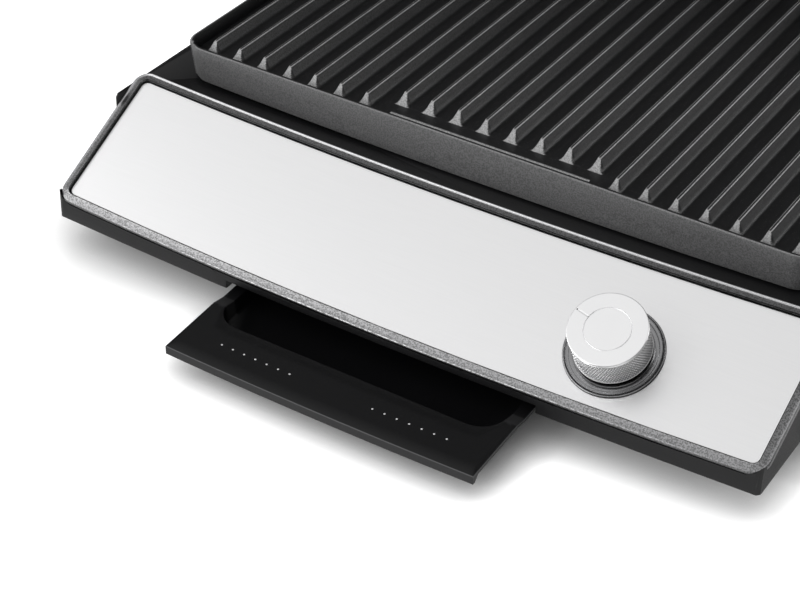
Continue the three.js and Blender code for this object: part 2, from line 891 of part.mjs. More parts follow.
function makeCastPlate(withDrain) {
  const bottomForm = { ...castForm, frontBow: withDrain ? skirtBow : 0 };
  const level = (z, grow, form = castForm) => outline(form, z, grow);
  let plate = toSolid(loft([
    level(castUnder, -skirtInside),
    level(-plateSkirt, -plateWall, bottomForm),
    level(-plateSkirt, 0, bottomForm),
    level(-plateRimWidth * half, 0),
    level(0, -plateRimWidth * half * half),
    level(0, -plateRimWidth),
    level(castFloor, -plateRimWidth - plateDraft),
  ]));
  for (let i = 0; i < ribCount; i += 1) {
    const fromMiddle = i - (ribCount - 1) * half;
    const setBack = Math.abs(fromMiddle) < ribsSetBackCount * half && withDrain ? ribSetBack : 0;
    plate = plate.add(makeRib(fromMiddle * ribPitch, ribFront + setBack, plateDepth - ribFront));
  }
  for (const [, side] of sides) {
    for (const y of bossY) {
      plate = plate.add(pegAt(boltBossRadius, bossEnd, castUnder + plateFloor * half, side * bossX, y));
    }
  }
  if (withDrain) {
    const slot = {
      halfWidth: (drainWidth + drainSlot) * half,
      front: drainFromRim,
      back: drainFromRim + drainSlot,
      frontRadius: drainSlot * half,
      backRadius: drainSlot * half,
    };
    plate = plate.subtract(toSolid(prism(slot, castUnder - cutOverrun, cutOverrun)));
  }
  return toGeometry(plate);
}

// Steel bar under two bolt bosses of a cast plate, lying on the reflector's flange.
function makePlateBar() {
  return prism({
    halfWidth: barWidth * half,
    front: barInset,
    back: plateDepth - barInset,
    frontRadius: sheet,
    backRadius: sheet,
  }, 0, sheet);
}

const heaterReach = plateWidth * half - heaterInset;
const heaterRowShares = [0, 1 / 3, 2 / 3, 1];
const heaterRows = heaterRowShares.map((share) => (
  THREE.MathUtils.lerp(heaterRowInset, plateDepth - heaterRowInset, share)
));
const heaterLoopRadius = (heaterRows[1] - heaterRows[0]) * half;

// Holes in a reflector for the two ends of a heater, on the left or the right.
function heaterHoles(side) {
  const ends = [heaterRows[0], heaterRows[heaterRows.length - 1]];
  const x = side * (heaterReach + heaterEndRadius * half);
  return ends.map((y) => pegAt(heaterHole, -deckHeight, deckHeight * 2, x, plateFront + y));
}

// Tubular heater: straight runs across the plate joined by round bends, with both ends turned down.
function makeHeater() {
  const straight = heaterReach - heaterLoopRadius;
  const rows = heaterRows;
  const path = new THREE.CurvePath();
  const point = (x, y, z = 0) => new THREE.Vector3(x, y, z);
  const line = (from, to) => path.add(new THREE.LineCurve3(from, to));
  const turnDown = (x, y, reversed) => {
    const low = point(x - heaterEndRadius, y, -heaterEndRadius);
    const end = point(x - heaterEndRadius, y, -heaterEndLength);
    const corner = point(x - heaterEndRadius, y, 0);
    if (reversed) {
      path.add(new THREE.QuadraticBezierCurve3(point(x, y), corner, low));
      line(low, end);
    } else {
      line(end, low);
      path.add(new THREE.QuadraticBezierCurve3(low, corner, point(x, y)));
    }
  };
  const roundBend = (x, fromY, bulge) => {
    const points = [];
    for (let i = 0; i <= bowSteps; i += 1) {
      const turn = (i / bowSteps - half) * Math.PI;
      points.push(point(
        x + bulge * heaterLoopRadius * Math.cos(turn),
        fromY + heaterLoopRadius * (1 + Math.sin(turn)),
      ));
    }
    path.add(new THREE.CatmullRomCurve3(points));
  };
  turnDown(-heaterReach, rows[0], false);
  line(point(-heaterReach, rows[0]), point(straight, rows[0]));
  rows.slice(1).forEach((row, i) => {
    const direction = i % 2 ? -1 : 1;
    roundBend(direction * straight, rows[i], direction);
    const end = i + 2 < rows.length ? -direction * straight : -heaterReach;
    line(point(direction * straight, row), point(end, row));
  });
  turnDown(-heaterReach, rows[rows.length - 1], true);
  const section = new THREE.Shape().absarc(0, 0, heaterRadius, 0, Math.PI * 2);
  return new THREE.ExtrudeGeometry(section, {
    steps: heaterSteps,
    extrudePath: path,
    curveSegments: heaterSideSteps,
    bevelEnabled: false,
  });
}

// Sheet-metal pan under the lower heater: a flange on the housing's deck and a shallow bowl.
function makeLowerReflector() {
  const flange = -skirtInside - gap;
  const bowl = wellGrow - gap;
  const form = { ...plateForm, front: plateFront + bowShift(plateWidth * half, skirtBow) };
  let pan = toSolid(loft([
    outline(form, deckHeight - reflectorDepth, bowl - reflectorDepth * half),
    outline(form, deckHeight + gap, bowl),
    outline(form, deckHeight + gap, flange),
    outline(form, deckHeight + gap + sheet, flange),
    outline(form, deckHeight + gap + sheet, bowl - sheet),
    outline(form, deckHeight - reflectorDepth + sheet, bowl - sheet - reflectorDepth * half),
  ]));
  pan = pan.subtract(toSolid(prism(chuteForm, deckHeight - reflectorDepth * 2, deckHeight * 2, gap)));
  for (const hole of heaterHoles(-1)) pan = pan.subtract(hole);
  return toGeometry(pan);
}

function makeUpperReflector() {
  let cover = toSolid(prism(plateForm, 0, sheet, -skirtInside - gap));
  for (const hole of heaterHoles(1)) cover = cover.subtract(hole);
  for (const [, side] of sides) {
    for (const y of bossY) {
      const hole = pegAt(bossRadius + gap, -cutOverrun, cutOverrun + sheet, side * bossX, plateFront + y);
      cover = cover.subtract(hole);
    }
  }
  return toGeometry(cover);
}

function makeDrainChute() {
  const top = plateTop + castUnder - gap;
  const lower = deckHeight - reflectorDepth;
  const throat = { ...chuteForm, halfWidth: chuteForm.halfWidth - reflectorDepth };
  return toGeometry(toSolid(loft([
    outline(throat, chuteBottom, 0),
    outline(throat, lower, 0),
    outline(chuteForm, deckHeight - wall - gap, 0),
    outline(chuteForm, top, 0),
  ])).subtract(toSolid(loft([
    outline(throat, chuteBottom - cutOverrun, -chuteWall),
    outline(throat, lower, -chuteWall),
    outline(chuteForm, deckHeight - wall - gap, -chuteWall),
    outline(chuteForm, top + cutOverrun, -chuteWall),
  ]))));
}

// Lid, drawn closed

const lidForm = {
  halfWidth: lidWidth * half,
  front: lidFront,
  back: lidBack,
  frontRadius: lidFrontCorner,
  backRadius: lidBackCorner,
  frontBow: panelFrontBow,
  backBow: 0,
};
const upperRim = plateTop + plateGap;
const upperBarZ = upperRim - bossEnd + gap;
const upperReflectorZ = upperBarZ + sheet + gap;
const lidPanelGrow = -lidPanelMargin;
const lidPanelForm = {
  ...lidForm,
  frontRadius: lidPanelCorner + lidPanelMargin,
  backRadius: lidPanelCorner + lidPanelMargin,
};

function makeLidHousing() {
  const shoulder = shoulderShares.map((share) => outline(
    lidForm,
    lidTop - lidShoulderHeight + lidShoulderHeight * Math.sin(share * Math.PI * half),
    -lidShoulder * (1 - Math.cos(share * Math.PI * half)),
  ));
  let shell = toSolid(loft([
    outline(lidForm, lidTop - wall - sheet - gap, -lidShoulder - wall),
    outline(lidForm, lidTop - lidShoulderHeight, -wall),
    outline(lidForm, lidBottom, -wall),
    outline(lidForm, lidBottom, 0),
    ...shoulder,
  ]));
  const panelSeat = lidTop - sheet - gap;
  shell = shell.subtract(toSolid(prism(lidPanelForm, panelSeat, lidTop + cutOverrun, lidPanelGrow)));
  for (const [, side] of sides) {
    for (const y of bossY) {
      const bottom = upperBarZ + sheet + gap;
      const boss = pegAt(bossRadius, bottom, panelSeat - wall * half, side * bossX, plateFront + y);
      shell = shell.add(boss);
    }
  }
  for (let i = 0; i < ventCount; i += 1) {
    const x = (i - (ventCount - 1) * half) * ventPitch;
    shell = shell.subtract(toSolid(block(
      x - ventSlotWidth * half,
      x + ventSlotWidth * half,
      lidBack - wall - cutOverrun,
      lidBack + cutOverrun,
      lidBottom + ventHeight,
      lidBottom + ventHeight * 2,
    )));
  }
  return toGeometry(shell);
}

function makeLidPanel() {
  return prism(lidPanelForm, lidTop - sheet, lidTop, lidPanelGrow - gap);
}

function makeGrip() {
  return rodX(gripRadius, -gripLength * half, gripLength * half, gripY, gripZ, roundSteps);
}

// Handle post: a tapering arm from the lid's front wall to a ring round the end of the grip.
function makeHandlePost(side) {
  const ringRadius = gripRadius + postRing;
  const inner = gripLength * half - gripSocket;
  const x0 = side > 0 ? inner : -inner - postWidth;
  const ring = toSolid(rodX(ringRadius, x0, x0 + postWidth, gripY, gripZ, roundSteps));
  const root = lidFront + bowShift(inner + postWidth, panelFrontBow) - gap;
  const arm = toSolid(alongX([
    [gripY, gripZ - ringRadius],
    [root, gripZ - postHeight * half - postRing],
    [root, gripZ + postHeight * half],
    [gripY, gripZ + ringRadius],
  ], x0, x0 + postWidth));
  const depth = gripSocket + gap;
  const x1 = x0 + postWidth;
  const [from, to] = side > 0 ? [x0 - cutOverrun, x0 + depth] : [x1 - depth, x1 + cutOverrun];
  const socket = toSolid(rodX(gripRadius + gap, from, to, gripY, gripZ, roundSteps));
  const frontWall = toSolid(prism(lidForm, 0, lidTop * 2, gap));
  return toGeometry(ring.add(arm).subtract(socket).subtract(frontWall));
}

// Hinge arm: an eye round the hinge pin and a pad against the lid's rear wall.
function makeHingeArm(side) {
  const x0 = side > 0 ? armX : -armX - armWidth;
  const eye = toSolid(rodX(hingeEye, x0, x0 + armWidth, hingeY, hingeZ, roundSteps * half));
  const web = toSolid(alongX([
    [lidBack + gap, lidBottom],
    [hingeY, hingeZ - hingeEye],
    [hingeY, hingeZ + hingeEye],
    [lidBack + gap + armPad, lidBottom + armHeight],
    [lidBack + gap, lidBottom + armHeight],
  ], x0, x0 + armWidth));
  const pin = toSolid(rodX(hingePin + gap, x0 - cutOverrun, x0 + armWidth + cutOverrun, hingeY, hingeZ));
  return toGeometry(eye.add(web).subtract(pin));
}

function makeHingePin(side) {
  const inner = armX - gap - earWidth;
  const outer = armX + armWidth + gap + earWidth;
  const [x0, x1] = side > 0 ? [inner, outer] : [-outer, -inner];
  return rodX(hingePin, x0, x1, hingeY, hingeZ);
}

// Assembly

const grill = new THREE.Group();

function place(name, geometry, material, parent, x = 0, y = 0, z = 0) {
  const mesh = new THREE.Mesh(geometry, material);
  mesh.name = name;
  mesh.position.set(x, y, z);
  parent.add(mesh);
  return mesh;
}

const base = new THREE.Group();
grill.add(base);
place('base_housing', makeBaseHousing(), blackMoulding, base);
place('bottom_cover', makeBottomCover(), plainSteel, base);
const endNames = ['front', 'rear'];
footPlaces().forEach(([x, y], i) => {
  const name = `foot_${endNames[i % 2]}_${x < 0 ? 'left' : 'right'}`;
  place(name, makeFoot(), rubber, base, x, y);
});
bossPlaces.forEach(([x, y], i) => {
  const name = `cover_screw_${endNames[i % 2]}_${x < 0 ? 'left' : 'right'}`;
  place(name, makeCoverScrew(), plainSteel, base, x, y, tubBottom);
});
place('cable_gland', makeGland(), blackMoulding, base, glandX, tubBack, glandHeight);
const lowerBarZ = deckHeight + sheet + gap * 2;
for (const [name, side] of sides) {
  place(`tray_rail_${name}`, makeTrayRail(side), plainSteel, base);
  place(`hinge_pin_${name}`, makeHingePin(side), plainSteel, base);
  place(`lower_plate_bar_${name}`, makePlateBar(), plainSteel, base, side * bossX, plateFront, lowerBarZ);
}
place('lower_plate', makeCastPlate(true), castCoating, base, 0, plateFront, plateTop);
const heaterLevel = castUnder - gap - heaterRadius;
place('lower_heater', makeHeater(), heaterSteel, base, 0, plateFront, plateTop + heaterLevel);
place('lower_reflector', makeLowerReflector(), plainSteel, base);
place('drain_chute', makeDrainChute(), plainSteel, base);

const controls = new THREE.Group();
controls.applyMatrix4(panelFrame);
base.add(controls);
place('control_panel', makePanel(), brushedMetal, controls);
place('panel_trim', makeTrim(), satinGrey, controls);

const knob = new THREE.Group();
knob.position.set(knobX, knobAlong, 0);
controls.add(knob);
place('knob_bezel', makeBezel(), bezelDark, knob);
place('thermostat_bracket', makeThermostatBracket(), plainSteel, knob);
place('thermostat', makeThermostat(), creamPlastic, knob);
place('thermostat_shaft', makeShaft(), plainSteel, knob);
place('knob_sleeve', makeKnobSleeve(), knobMetal, knob);
place('knob_cap', makeKnobCap(), knobMetal, knob).rotation.z = knobPointerAngle;

const tray = new THREE.Group();
tray.applyMatrix4(trayFrame);
grill.add(tray);
place('drip_tray', makeDripTray(), trayBlack, tray);

const lid = new THREE.Group();
lid.position.set(0, hingeY, hingeZ);
lid.rotation.x = -openAngle;
grill.add(lid);
const closed = new THREE.Group();
closed.position.set(0, -hingeY, -hingeZ);
lid.add(closed);
place('lid_housing', makeLidHousing(), blackMoulding, closed);
place('lid_panel', makeLidPanel(), brushedMetal, closed);
const upperPlate = place('upper_plate', makeCastPlate(false), castCoating, closed, 0, plateFront, upperRim);
upperPlate.rotation.y = Math.PI;
const upperHeaterZ = upperRim - heaterLevel;
const upperHeater = place('upper_heater', makeHeater(), heaterSteel, closed, 0, plateFront, upperHeaterZ);
upperHeater.rotation.y = Math.PI;
place('upper_reflector', makeUpperReflector(), plainSteel, closed, 0, 0, upperReflectorZ);
place('handle_grip', makeGrip(), brushedMetal, closed);
for (const [name, side] of sides) {
  place(`handle_post_${name}`, makeHandlePost(side), blackMoulding, closed);
  place(`hinge_arm_${name}`, makeHingeArm(side), plainSteel, closed);
  place(`upper_plate_bar_${name}`, makePlateBar(), plainSteel, closed, side * bossX, plateFront, upperBarZ);
}

// The origin is the middle of the model's footprint on the table.
grill.updateMatrixWorld(true);
const bounds = new THREE.Box3().setFromObject(grill, true);
const centre = bounds.getCenter(new THREE.Vector3());
grill.position.set(-centre.x, -centre.y, -bounds.min.z);

export default grill;
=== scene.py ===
"""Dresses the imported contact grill: cast plates, panel, trim, knob, drip tray, lid, handle and a studio."""

import json
import math

import bmesh
import bpy
import numpy as np
from bpy.props import FloatProperty, FloatVectorProperty, IntProperty, PointerProperty
from mathutils import Matrix, Vector

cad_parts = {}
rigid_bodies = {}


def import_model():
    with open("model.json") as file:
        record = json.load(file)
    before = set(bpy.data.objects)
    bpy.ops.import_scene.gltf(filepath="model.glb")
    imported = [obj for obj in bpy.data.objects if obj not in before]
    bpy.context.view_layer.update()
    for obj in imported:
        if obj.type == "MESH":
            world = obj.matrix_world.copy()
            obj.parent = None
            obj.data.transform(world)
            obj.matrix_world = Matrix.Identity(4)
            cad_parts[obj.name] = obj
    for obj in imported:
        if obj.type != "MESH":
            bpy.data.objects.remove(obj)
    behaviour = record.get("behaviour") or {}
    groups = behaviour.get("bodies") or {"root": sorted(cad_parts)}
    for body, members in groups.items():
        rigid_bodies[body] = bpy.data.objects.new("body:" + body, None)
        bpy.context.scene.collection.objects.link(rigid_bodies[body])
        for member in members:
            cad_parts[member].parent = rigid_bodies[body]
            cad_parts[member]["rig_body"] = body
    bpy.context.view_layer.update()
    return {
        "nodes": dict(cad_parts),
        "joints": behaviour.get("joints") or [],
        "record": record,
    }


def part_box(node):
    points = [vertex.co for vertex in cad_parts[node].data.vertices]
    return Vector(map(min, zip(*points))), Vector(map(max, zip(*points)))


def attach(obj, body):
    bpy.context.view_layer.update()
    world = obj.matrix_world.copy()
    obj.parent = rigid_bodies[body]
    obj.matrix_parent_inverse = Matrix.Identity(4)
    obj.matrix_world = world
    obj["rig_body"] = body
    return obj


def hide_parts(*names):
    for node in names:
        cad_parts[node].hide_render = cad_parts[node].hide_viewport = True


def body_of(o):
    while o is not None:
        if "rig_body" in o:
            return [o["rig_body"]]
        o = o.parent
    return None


bl_info = {
    "name": "Contact Grill",
    "version": (1, 0, 0),
    "blender": (4, 5, 0),
    "location": "View3D > Sidebar > Grill",
    "description": "Builds the surfaces and finishes of a countertop contact grill around its frame",
    "category": "Object",
}

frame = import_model()
MM = 0.001
# Two points closer than this are one, and lines of a grid are rounded to about this
SAME_PLACE = 0.001 * MM
ROUNDING = 1e-7
# How far the middle of a rounded edge lies inside its corner, as a share of its radius
HALF_ROUND = 0.3
# Areas of a vent's faces, and the cosine above which a face is square to the width
TINY_FACE = 12 * MM ** 2
SMALL_FACE = 40 * MM ** 2
SQUARE = 0.99
# Bend below which two faces are one plane, and the least length and bend of an edge that is bevelled
FLAT_BEND = math.radians(0.5)
SHORTEST_EDGE = 2.5 * MM
LEAST_BEND = math.radians(38)
BEVEL_SEGMENTS = 3
WHITE = (1, 1, 1, 1)


# Sizes and colours


def length(name, default, description):
    """A length property in metres."""
    return FloatProperty(name=name, description=description, default=default, min=0.0,
                         unit="LENGTH", subtype="DISTANCE", precision=5)


def number(name, default, least, description):
    """A property that is a whole number where its default is one, and otherwise a plain one."""
    kind = IntProperty if isinstance(default, int) else FloatProperty
    return kind(name=name, description=description, default=default, min=least)


def colour(name, default, description):
    """A linear RGB colour property."""
    return FloatVectorProperty(name=name, description=description, default=default, size=3,
                               min=0.0, max=1.0, subtype="COLOR")


class GrillPlateSizes(bpy.types.PropertyGroup):
    """Sizes of the cooking plates"""

    corner: length("Corner", 12 * MM, "Radius of the cooking plate's corners")
    rim: length("Rim", 2 * MM, "Width of the rim's flat top")
    rim_round: length("Rim round", 0.5 * MM, "Radius along the rim's outer edge")
    rim_fall: length("Rim fall", 1.2 * MM, "Width of the slope from the rim to the floor")
    wall: length("Skirt wall", 3 * MM, "Thickness of the skirt")
    under: length("Underside", 9.2 * MM, "Depth of the plate's underside below the rim")
    skirt_bow: length("Skirt bow", 3.3, "Radius of the bow in the skirt's lower edge")
    rib_pitch: length("Rib pitch", 13.9 * MM, "Distance between ribs")
    rib_height: length("Rib height", 5.7 * MM, "Height of a rib above the floor")
    rib_foot: length("Rib foot", 8.6 * MM, "Width of a rib at the floor")
    rib_crest: length("Rib crest", 1.35 * MM, "Width of a rib's flat crest")
    rib_run: length("Rib end", 3.6 * MM, "Length of a rib's slanted end")
    rib_front: length("Rib front", 11.5 * MM, "Distance from the plate's edge to a rib's crest")
    set_back: length("Set back", 10.5 * MM, "How much further back the middle ribs start")
    set_back_ribs: number("Set-back ribs", 8, 0, "Number of middle ribs that start further back")
    rib_brow: length("Rib brow", 0.16 * MM, "Radius along a rib's crest")
    # The bright line along a rib's crest is a painted highlight
    rib_shine: length("Rib shine", 0.15 * MM, "Half width of the bright line along a rib's crest")
    rib_hollow: number("Rib hollow", 2.3, 1.0, "Power that hollows a rib's flanks")
    drain_width: length("Drain width", 100 * MM, "Length of the drain slot")
    drain_slot: length("Drain slot", 3.4 * MM, "Width of the drain slot")
    drain_from_rim: length("Drain place", 6.8 * MM, "Distance from the plate's edge to the drain slot")
    drain_lip: length("Drain lip", 1.6 * MM, "Radius of the lip where the floor rolls into the drain slot")


class GrillPanelSizes(bpy.types.PropertyGroup):
    """Sizes of the control panel and its trim"""

    width: length("Panel width", 340 * MM, "Width of the control panel")
    depth: length("Panel depth", 66.6 * MM, "Depth of the control panel along its slope")
    front_bow: length("Front bow", 3.175, "Radius of the panel's front edge")
    back_bow: length("Back bow", 3.745, "Radius of the panel's back edge")
    corner: length("Corner", 3 * MM, "Radius of the panel's corners")
    thickness: length("Thickness", 1.2 * MM, "Thickness of the panel's sheet")
    trim_width: length("Trim width", 4.4 * MM, "Width of the trim round the panel")
    trim_rise: length("Trim rise", 1.7 * MM, "Height of the trim above the panel")
    trim_fall: length("Trim fall", 0.75 * MM, "How far the trim's band falls towards its outer edge")
    trim_roll: length("Trim roll", 1.0 * MM, "Radius of the trim's rolled front edge")
    trim_bead: length("Trim bead", 0.5 * MM, "Radius of the bead along the trim's back edge")
    trim_step: length("Trim step", 0.38 * MM, "Height of the bead above the trim's band")
    trim_edge: length("Trim edge", 0.25 * MM, "Radius of the trim's inner edge")
    trim_gap: length("Trim gap", 0.42 * MM, "Width of the dark gap between the panel and its trim")


class GrillKnobSizes(bpy.types.PropertyGroup):
    """Sizes of the knob and the ring round it"""

    along: length("Place", 27.6 * MM, "Distance of the knob's axis from the panel's front edge")
    radius: length("Radius", 16.6 * MM, "Radius of the knob")
    top: length("Top", 18.9 * MM, "Height of the cap's face above the panel")
    lift: length("Lift", 3.3 * MM, "Height of the sleeve's lower edge above the panel")
    cap: length("Cap", 1.3 * MM, "Thickness of the cap")
    cap_gap: length("Cap gap", 0.35 * MM, "Height of the dark joint under the cap")
    ring: length("Ring", 9.7 * MM, "Radius of the groove in the cap's face")
    groove: length("Groove", 0.55 * MM, "Width of the groove")
    groove_depth: length("Groove depth", 0.28 * MM, "Depth of the groove")
    pointer: length("Pointer", 1.1 * MM, "Width of the pointer's notch")
    pointer_depth: length("Pointer depth", 0.09 * MM, "Depth of the pointer's notch")
    dot: length("Pointer dot", 0.32 * MM, "Radius of the dark dot at the pointer's end")
    pointer_angle: FloatProperty(name="Pointer angle", description="Turn of the pointer from up the slope",
                                 default=math.radians(77), subtype="ANGLE", unit="ROTATION")
    knurl_count: number("Knurls", 84, 12, "Number of knurls round the sleeve")
    knurl_stretch: number("Knurl stretch", 1.8, 0.2, "How much taller than wide a knurl is")
    knurl_depth: length("Knurl depth", 0.38 * MM, "Depth of the knurls")
    bezel_radius: length("Bezel radius", 21.2 * MM, "Radius of the ring round the knob")
    bezel_lip: length("Bezel lip", 0.9 * MM, "Height of the ring's lip above the panel")
    bezel_flange: length("Bezel flange", 1.1 * MM, "Width of the ring's lip")
    bezel_dish: length("Bezel dish", 17.4 * MM, "Radius of the ring's dished floor")
    shaft: length("Shaft", 3 * MM, "Radius of the shaft")


class GrillTraySizes(bpy.types.PropertyGroup):
    """Sizes of the drip tray"""

    width: length("Width", 150.2 * MM, "Width of the drip tray")
    depth: length("Length", 160 * MM, "Length of the drip tray")
    bow: length("Front bow", 2.41, "Radius of the tray's front edge")
    lip: length("Lip", 4.3 * MM, "Height of the tray's front lip")
    sheet: length("Plate", 1.6 * MM, "Thickness of the tray's front plate")
    plate: length("Plate depth", 35.5 * MM, "Depth of the raised front plate")
    ramp: length("Ramp", 7 * MM, "Length of the ramps behind the front plate")
    drop: length("Rail drop", 1.5 * MM, "Drop from the front plate to the side flanges")
    flange: length("Flange", 6 * MM, "Width of the side flanges")
    wall: length("Wall", 1.2 * MM, "Thickness of the basin's wall")
    basin_front: length("Basin place", 26.4 * MM, "Distance from the front edge to the basin")
    basin_depth: length("Basin depth", 8.4 * MM, "Depth of the basin")
    basin_corner: length("Basin corner", 12 * MM, "Radius of the basin's corners")
    edge: length("Edge", 0.3 * MM, "Radius of the tray's edges")
    dot: length("Dot", 0.45 * MM, "Radius of the small dots")
    dot_rise: length("Dot rise", 0.12 * MM, "Height of the small dots")
    dot_pitch: length("Dot pitch", 5.81 * MM, "Distance between the dots")
    dot_place: length("Dot place", 13.6 * MM, "Distance from the front edge to the dots")


class GrillColours(bpy.types.PropertyGroup):
    """Colours of the finishes"""

    panel: colour("Panel", (0.88, 0.88, 0.885), "Brushed control panel")
    trim: colour("Trim", (0.31, 0.31, 0.315), "Satin trim round the panel")
    moulding: colour("Moulding", (0.005, 0.005, 0.0055), "Black mouldings")
    coating: colour("Coating", (0.006, 0.006, 0.0065), "Release coating of the cooking plates")
    speck: colour("Specks", (0.07, 0.07, 0.072), "Specks in the release coating")
    # The coating's painted highlight colour, in part coating rubbed thin
    painted_light_and_wear: colour("Worn edges", (0.75, 0.75, 0.755), "Release coating where edges are thin and bright")
    tray: colour("Tray", (0.0035, 0.0035, 0.004), "Drip tray")
    dots: colour("Dots", (0.75, 0.75, 0.76), "Dots on the tray")
    # A painted highlight colour for the tray's edges, lip and ramps
    tray_edge_highlight: colour("Tray edge", (0.30, 0.30, 0.305), "Bare edge of the drip tray")
    knob: colour("Knob", (0.94, 0.94, 0.945), "Knob")
    sleeve: colour("Sleeve", (0.88, 0.88, 0.885), "Knurled sleeve of the knob")
    bezel: colour("Bezel", (0.25, 0.25, 0.255), "Ring round the knob")
    steel: colour("Steel", (0.52, 0.53, 0.54), "Plain steel")
    heater: colour("Heater", (0.12, 0.10, 0.09), "Heater tube")
    scorch: colour("Scorch", (0.2, 0.13, 0.09), "Scorched patches on the heater tube")
    rubber: colour("Rubber", (0.012, 0.012, 0.012), "Rubber feet")
    cream: colour("Thermostat", (0.62, 0.58, 0.47), "Thermostat's case")
    floor: colour("Floor", (0.86, 0.86, 0.86), "Studio floor")


# Places taken from the frame


def joint(name):
    """A joint of the frame by its name."""
    return next(j for j in frame["joints"] if j["name"] == name)


def node_points(name):
    """Every vertex of a frame node as an array of rows."""
    mesh = frame["nodes"][name].data
    flat = np.empty(len(mesh.vertices) * 3)
    mesh.vertices.foreach_get("co", flat)
    return flat.reshape(-1, 3)


def basis(across, along, up, origin):
    """A matrix whose columns are three unit directions and a place."""
    return Matrix.Translation(origin) @ Matrix((across, along, up)).transposed().to_4x4()


def panel_frame():
    """The panel's own frame: x right, y up the slope from the front edge, z out of its face."""
    turn = joint("knob_turn")
    up = -Vector(turn["axis"]).normalized()
    along = Vector((0, up.z, -up.y))
    knob = Vector(turn["pos_m"])
    origin = knob - Vector((knob.x, 0, 0)) - along * bpy.context.scene.grill_knob.along
    return basis(Vector((1, 0, 0)), along, up, origin)


def knob_frame():
    """The knob's frame: as the panel's, centred on the knob's axis."""
    place = panel_frame()
    place.translation = Vector(joint("knob_turn")["pos_m"])
    return place


def tray_frame():
    """The tray's own frame: x right, y to the back along the slide, z up, on its front upper edge."""
    along = -Vector(joint("tray_slide")["axis"]).normalized()
    up = Vector((0, -along.z, along.y))
    points = node_points("drip_tray")
    foremost = Vector(points[points[:, 1].argmin()])
    return basis(Vector((1, 0, 0)), along, up, Vector((0, foremost.y, foremost.z)))


def lower_plate_frame():
    """The lower plate's frame: x right, y to the back from its front edge, z up from its rim."""
    low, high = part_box("lower_plate")
    return Matrix.Translation((0, low.y, high.z))


def upper_plate_frame():
    """The upper plate's frame: the lower plate's, turned over and carried round the hinge."""
    hinge = joint("lid_hinge")
    pivot = Vector(hinge["pos_m"])
    swing = Matrix.Rotation(math.radians(-hinge["range_deg"][0]), 4, Vector(hinge["axis"]).normalized())
    back = np.array(swing.inverted())[:3, :3]
    closed = (node_points("upper_plate") - np.array(pivot)) @ back.T + np.array(pivot)
    place = lower_plate_frame()
    place.translation.z = closed[:, 2].min()
    turned_over = Matrix.Diagonal((-1, 1, -1, 1))
    return Matrix.Translation(pivot) @ swing @ Matrix.Translation(-pivot) @ place @ turned_over


# Meshes and pieces


def new_object(name, data):
    """An object in the scene, at the origin."""
    thing = bpy.data.objects.new(name, data)
    bpy.context.scene.collection.objects.link(thing)
    return thing


def grid_faces(rows, columns, round_columns=False):
    """Quads between neighbouring rows and columns of a grid of vertices numbered row by row."""
    last = columns if round_columns else columns - 1
    r, c = np.meshgrid(np.arange(rows - 1), np.arange(last), indexing="ij")
    r, c = r.ravel(), c.ravel()
    n = (c + 1) % columns
    return np.stack([r * columns + c, r * columns + n, (r + 1) * columns + n, (r + 1) * columns + c], 1)


def make_piece(name, points, quads, body, material, nodes=(), place=None, caps=(), smooth_angle=35.0):
    """Puts points and faces into a mesh object at the origin, attaches it to its body, and hides the frame
    nodes it stands for.
    """
    mesh = bpy.data.meshes.new(name)
    points = np.asarray(points, float)
    if place is not None:
        m = np.array(place)
        points = points @ m[:3, :3].T + m[:3, 3]
        if np.linalg.det(m[:3, :3]) < 0:
            quads = quads[:, ::-1]
            caps = [cap[::-1] for cap in caps]
    mesh.from_pydata(points.tolist(), [], quads.tolist() + [cap.tolist() for cap in caps])
    mesh.validate()
    mesh.update()
    piece = new_object(name, mesh)
    shade(piece, smooth_angle)
    mesh.materials.append(material)
    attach(piece, body)
    if nodes:
        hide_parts(*nodes)
    return piece


def store_painted_light_and_wear(piece, amounts, kind="painted_light_and_wear"):
    """Stores a share from 0 to 1 for each vertex, for the finish to read. By default it is the painted
    highlight, the painted shade or the rubbed coating that the piece's finish tints in; the trim also stores
    the painted shade along its gap.
    """
    attribute = piece.data.attributes.new(kind, "FLOAT", "POINT")
    attribute.data.foreach_set("value", np.asarray(amounts, float))


def joined(piece):
    """Merges vertices that lie on one another, so that faces between them with no area go."""
    mesh = bmesh.new()
    mesh.from_mesh(piece.data)
    bmesh.ops.remove_doubles(mesh, verts=mesh.verts, dist=SAME_PLACE)
    mesh.to_mesh(piece.data)
    mesh.free()


def shade(piece, angle):
    """Smooth shading that keeps edges sharper than the angle, in degrees."""
    mesh = piece.data
    mesh.polygons.foreach_set("use_smooth", np.ones(len(mesh.polygons), bool))
    mesh.set_sharp_from_angle(angle=math.radians(angle))


def skin(loops):
    """Vertices and faces of a closed skin through loops of equally many points, with a cap at each end.

    Each loop runs counter-clockwise seen from where the last loop lies, so faces point outwards.
    """
    count = len(loops[0])
    points = np.concatenate(loops)
    quads = grid_faces(len(loops), count, round_columns=True)
    return points, quads, [np.arange(count)[::-1], np.arange(len(points) - count, len(points))]


def ring_skin(loops):
    """Vertices and faces of a closed ring: the last loop joins the first."""
    points, quads, (backwards, last) = skin(loops)
    first = backwards[::-1]
    closing = np.stack([last, np.roll(last, -1), np.roll(first, -1), first], 1)
    return points, np.concatenate([quads, closing])


def sag(x, radius):
    """How far a circle has left its tangent at x: R - sqrt(R^2 - x^2)."""
    return radius - np.sqrt(radius * radius - x * x)


def whole_turn(steps):
    """Evenly spaced angles once round."""
    return np.linspace(0, 2 * math.pi, steps, endpoint=False)


def circle(turn, radius, level, centre=(0, 0)):
    """A level loop, x = r cos t and y = r sin t from its centre. The radius may change with the angle."""
    x, y = centre
    return np.column_stack([x + radius * np.cos(turn), y + radius * np.sin(turn), np.full(len(turn), level)])


def round_corner(centre, radius, start, end, steps=5):
    """Points of an arc in the r-z plane, angles in degrees."""
    turn = np.radians(np.linspace(start, end, steps))
    return [(centre[0] + radius * math.cos(t), centre[1] + radius * math.sin(t)) for t in turn]


# Cooking plates


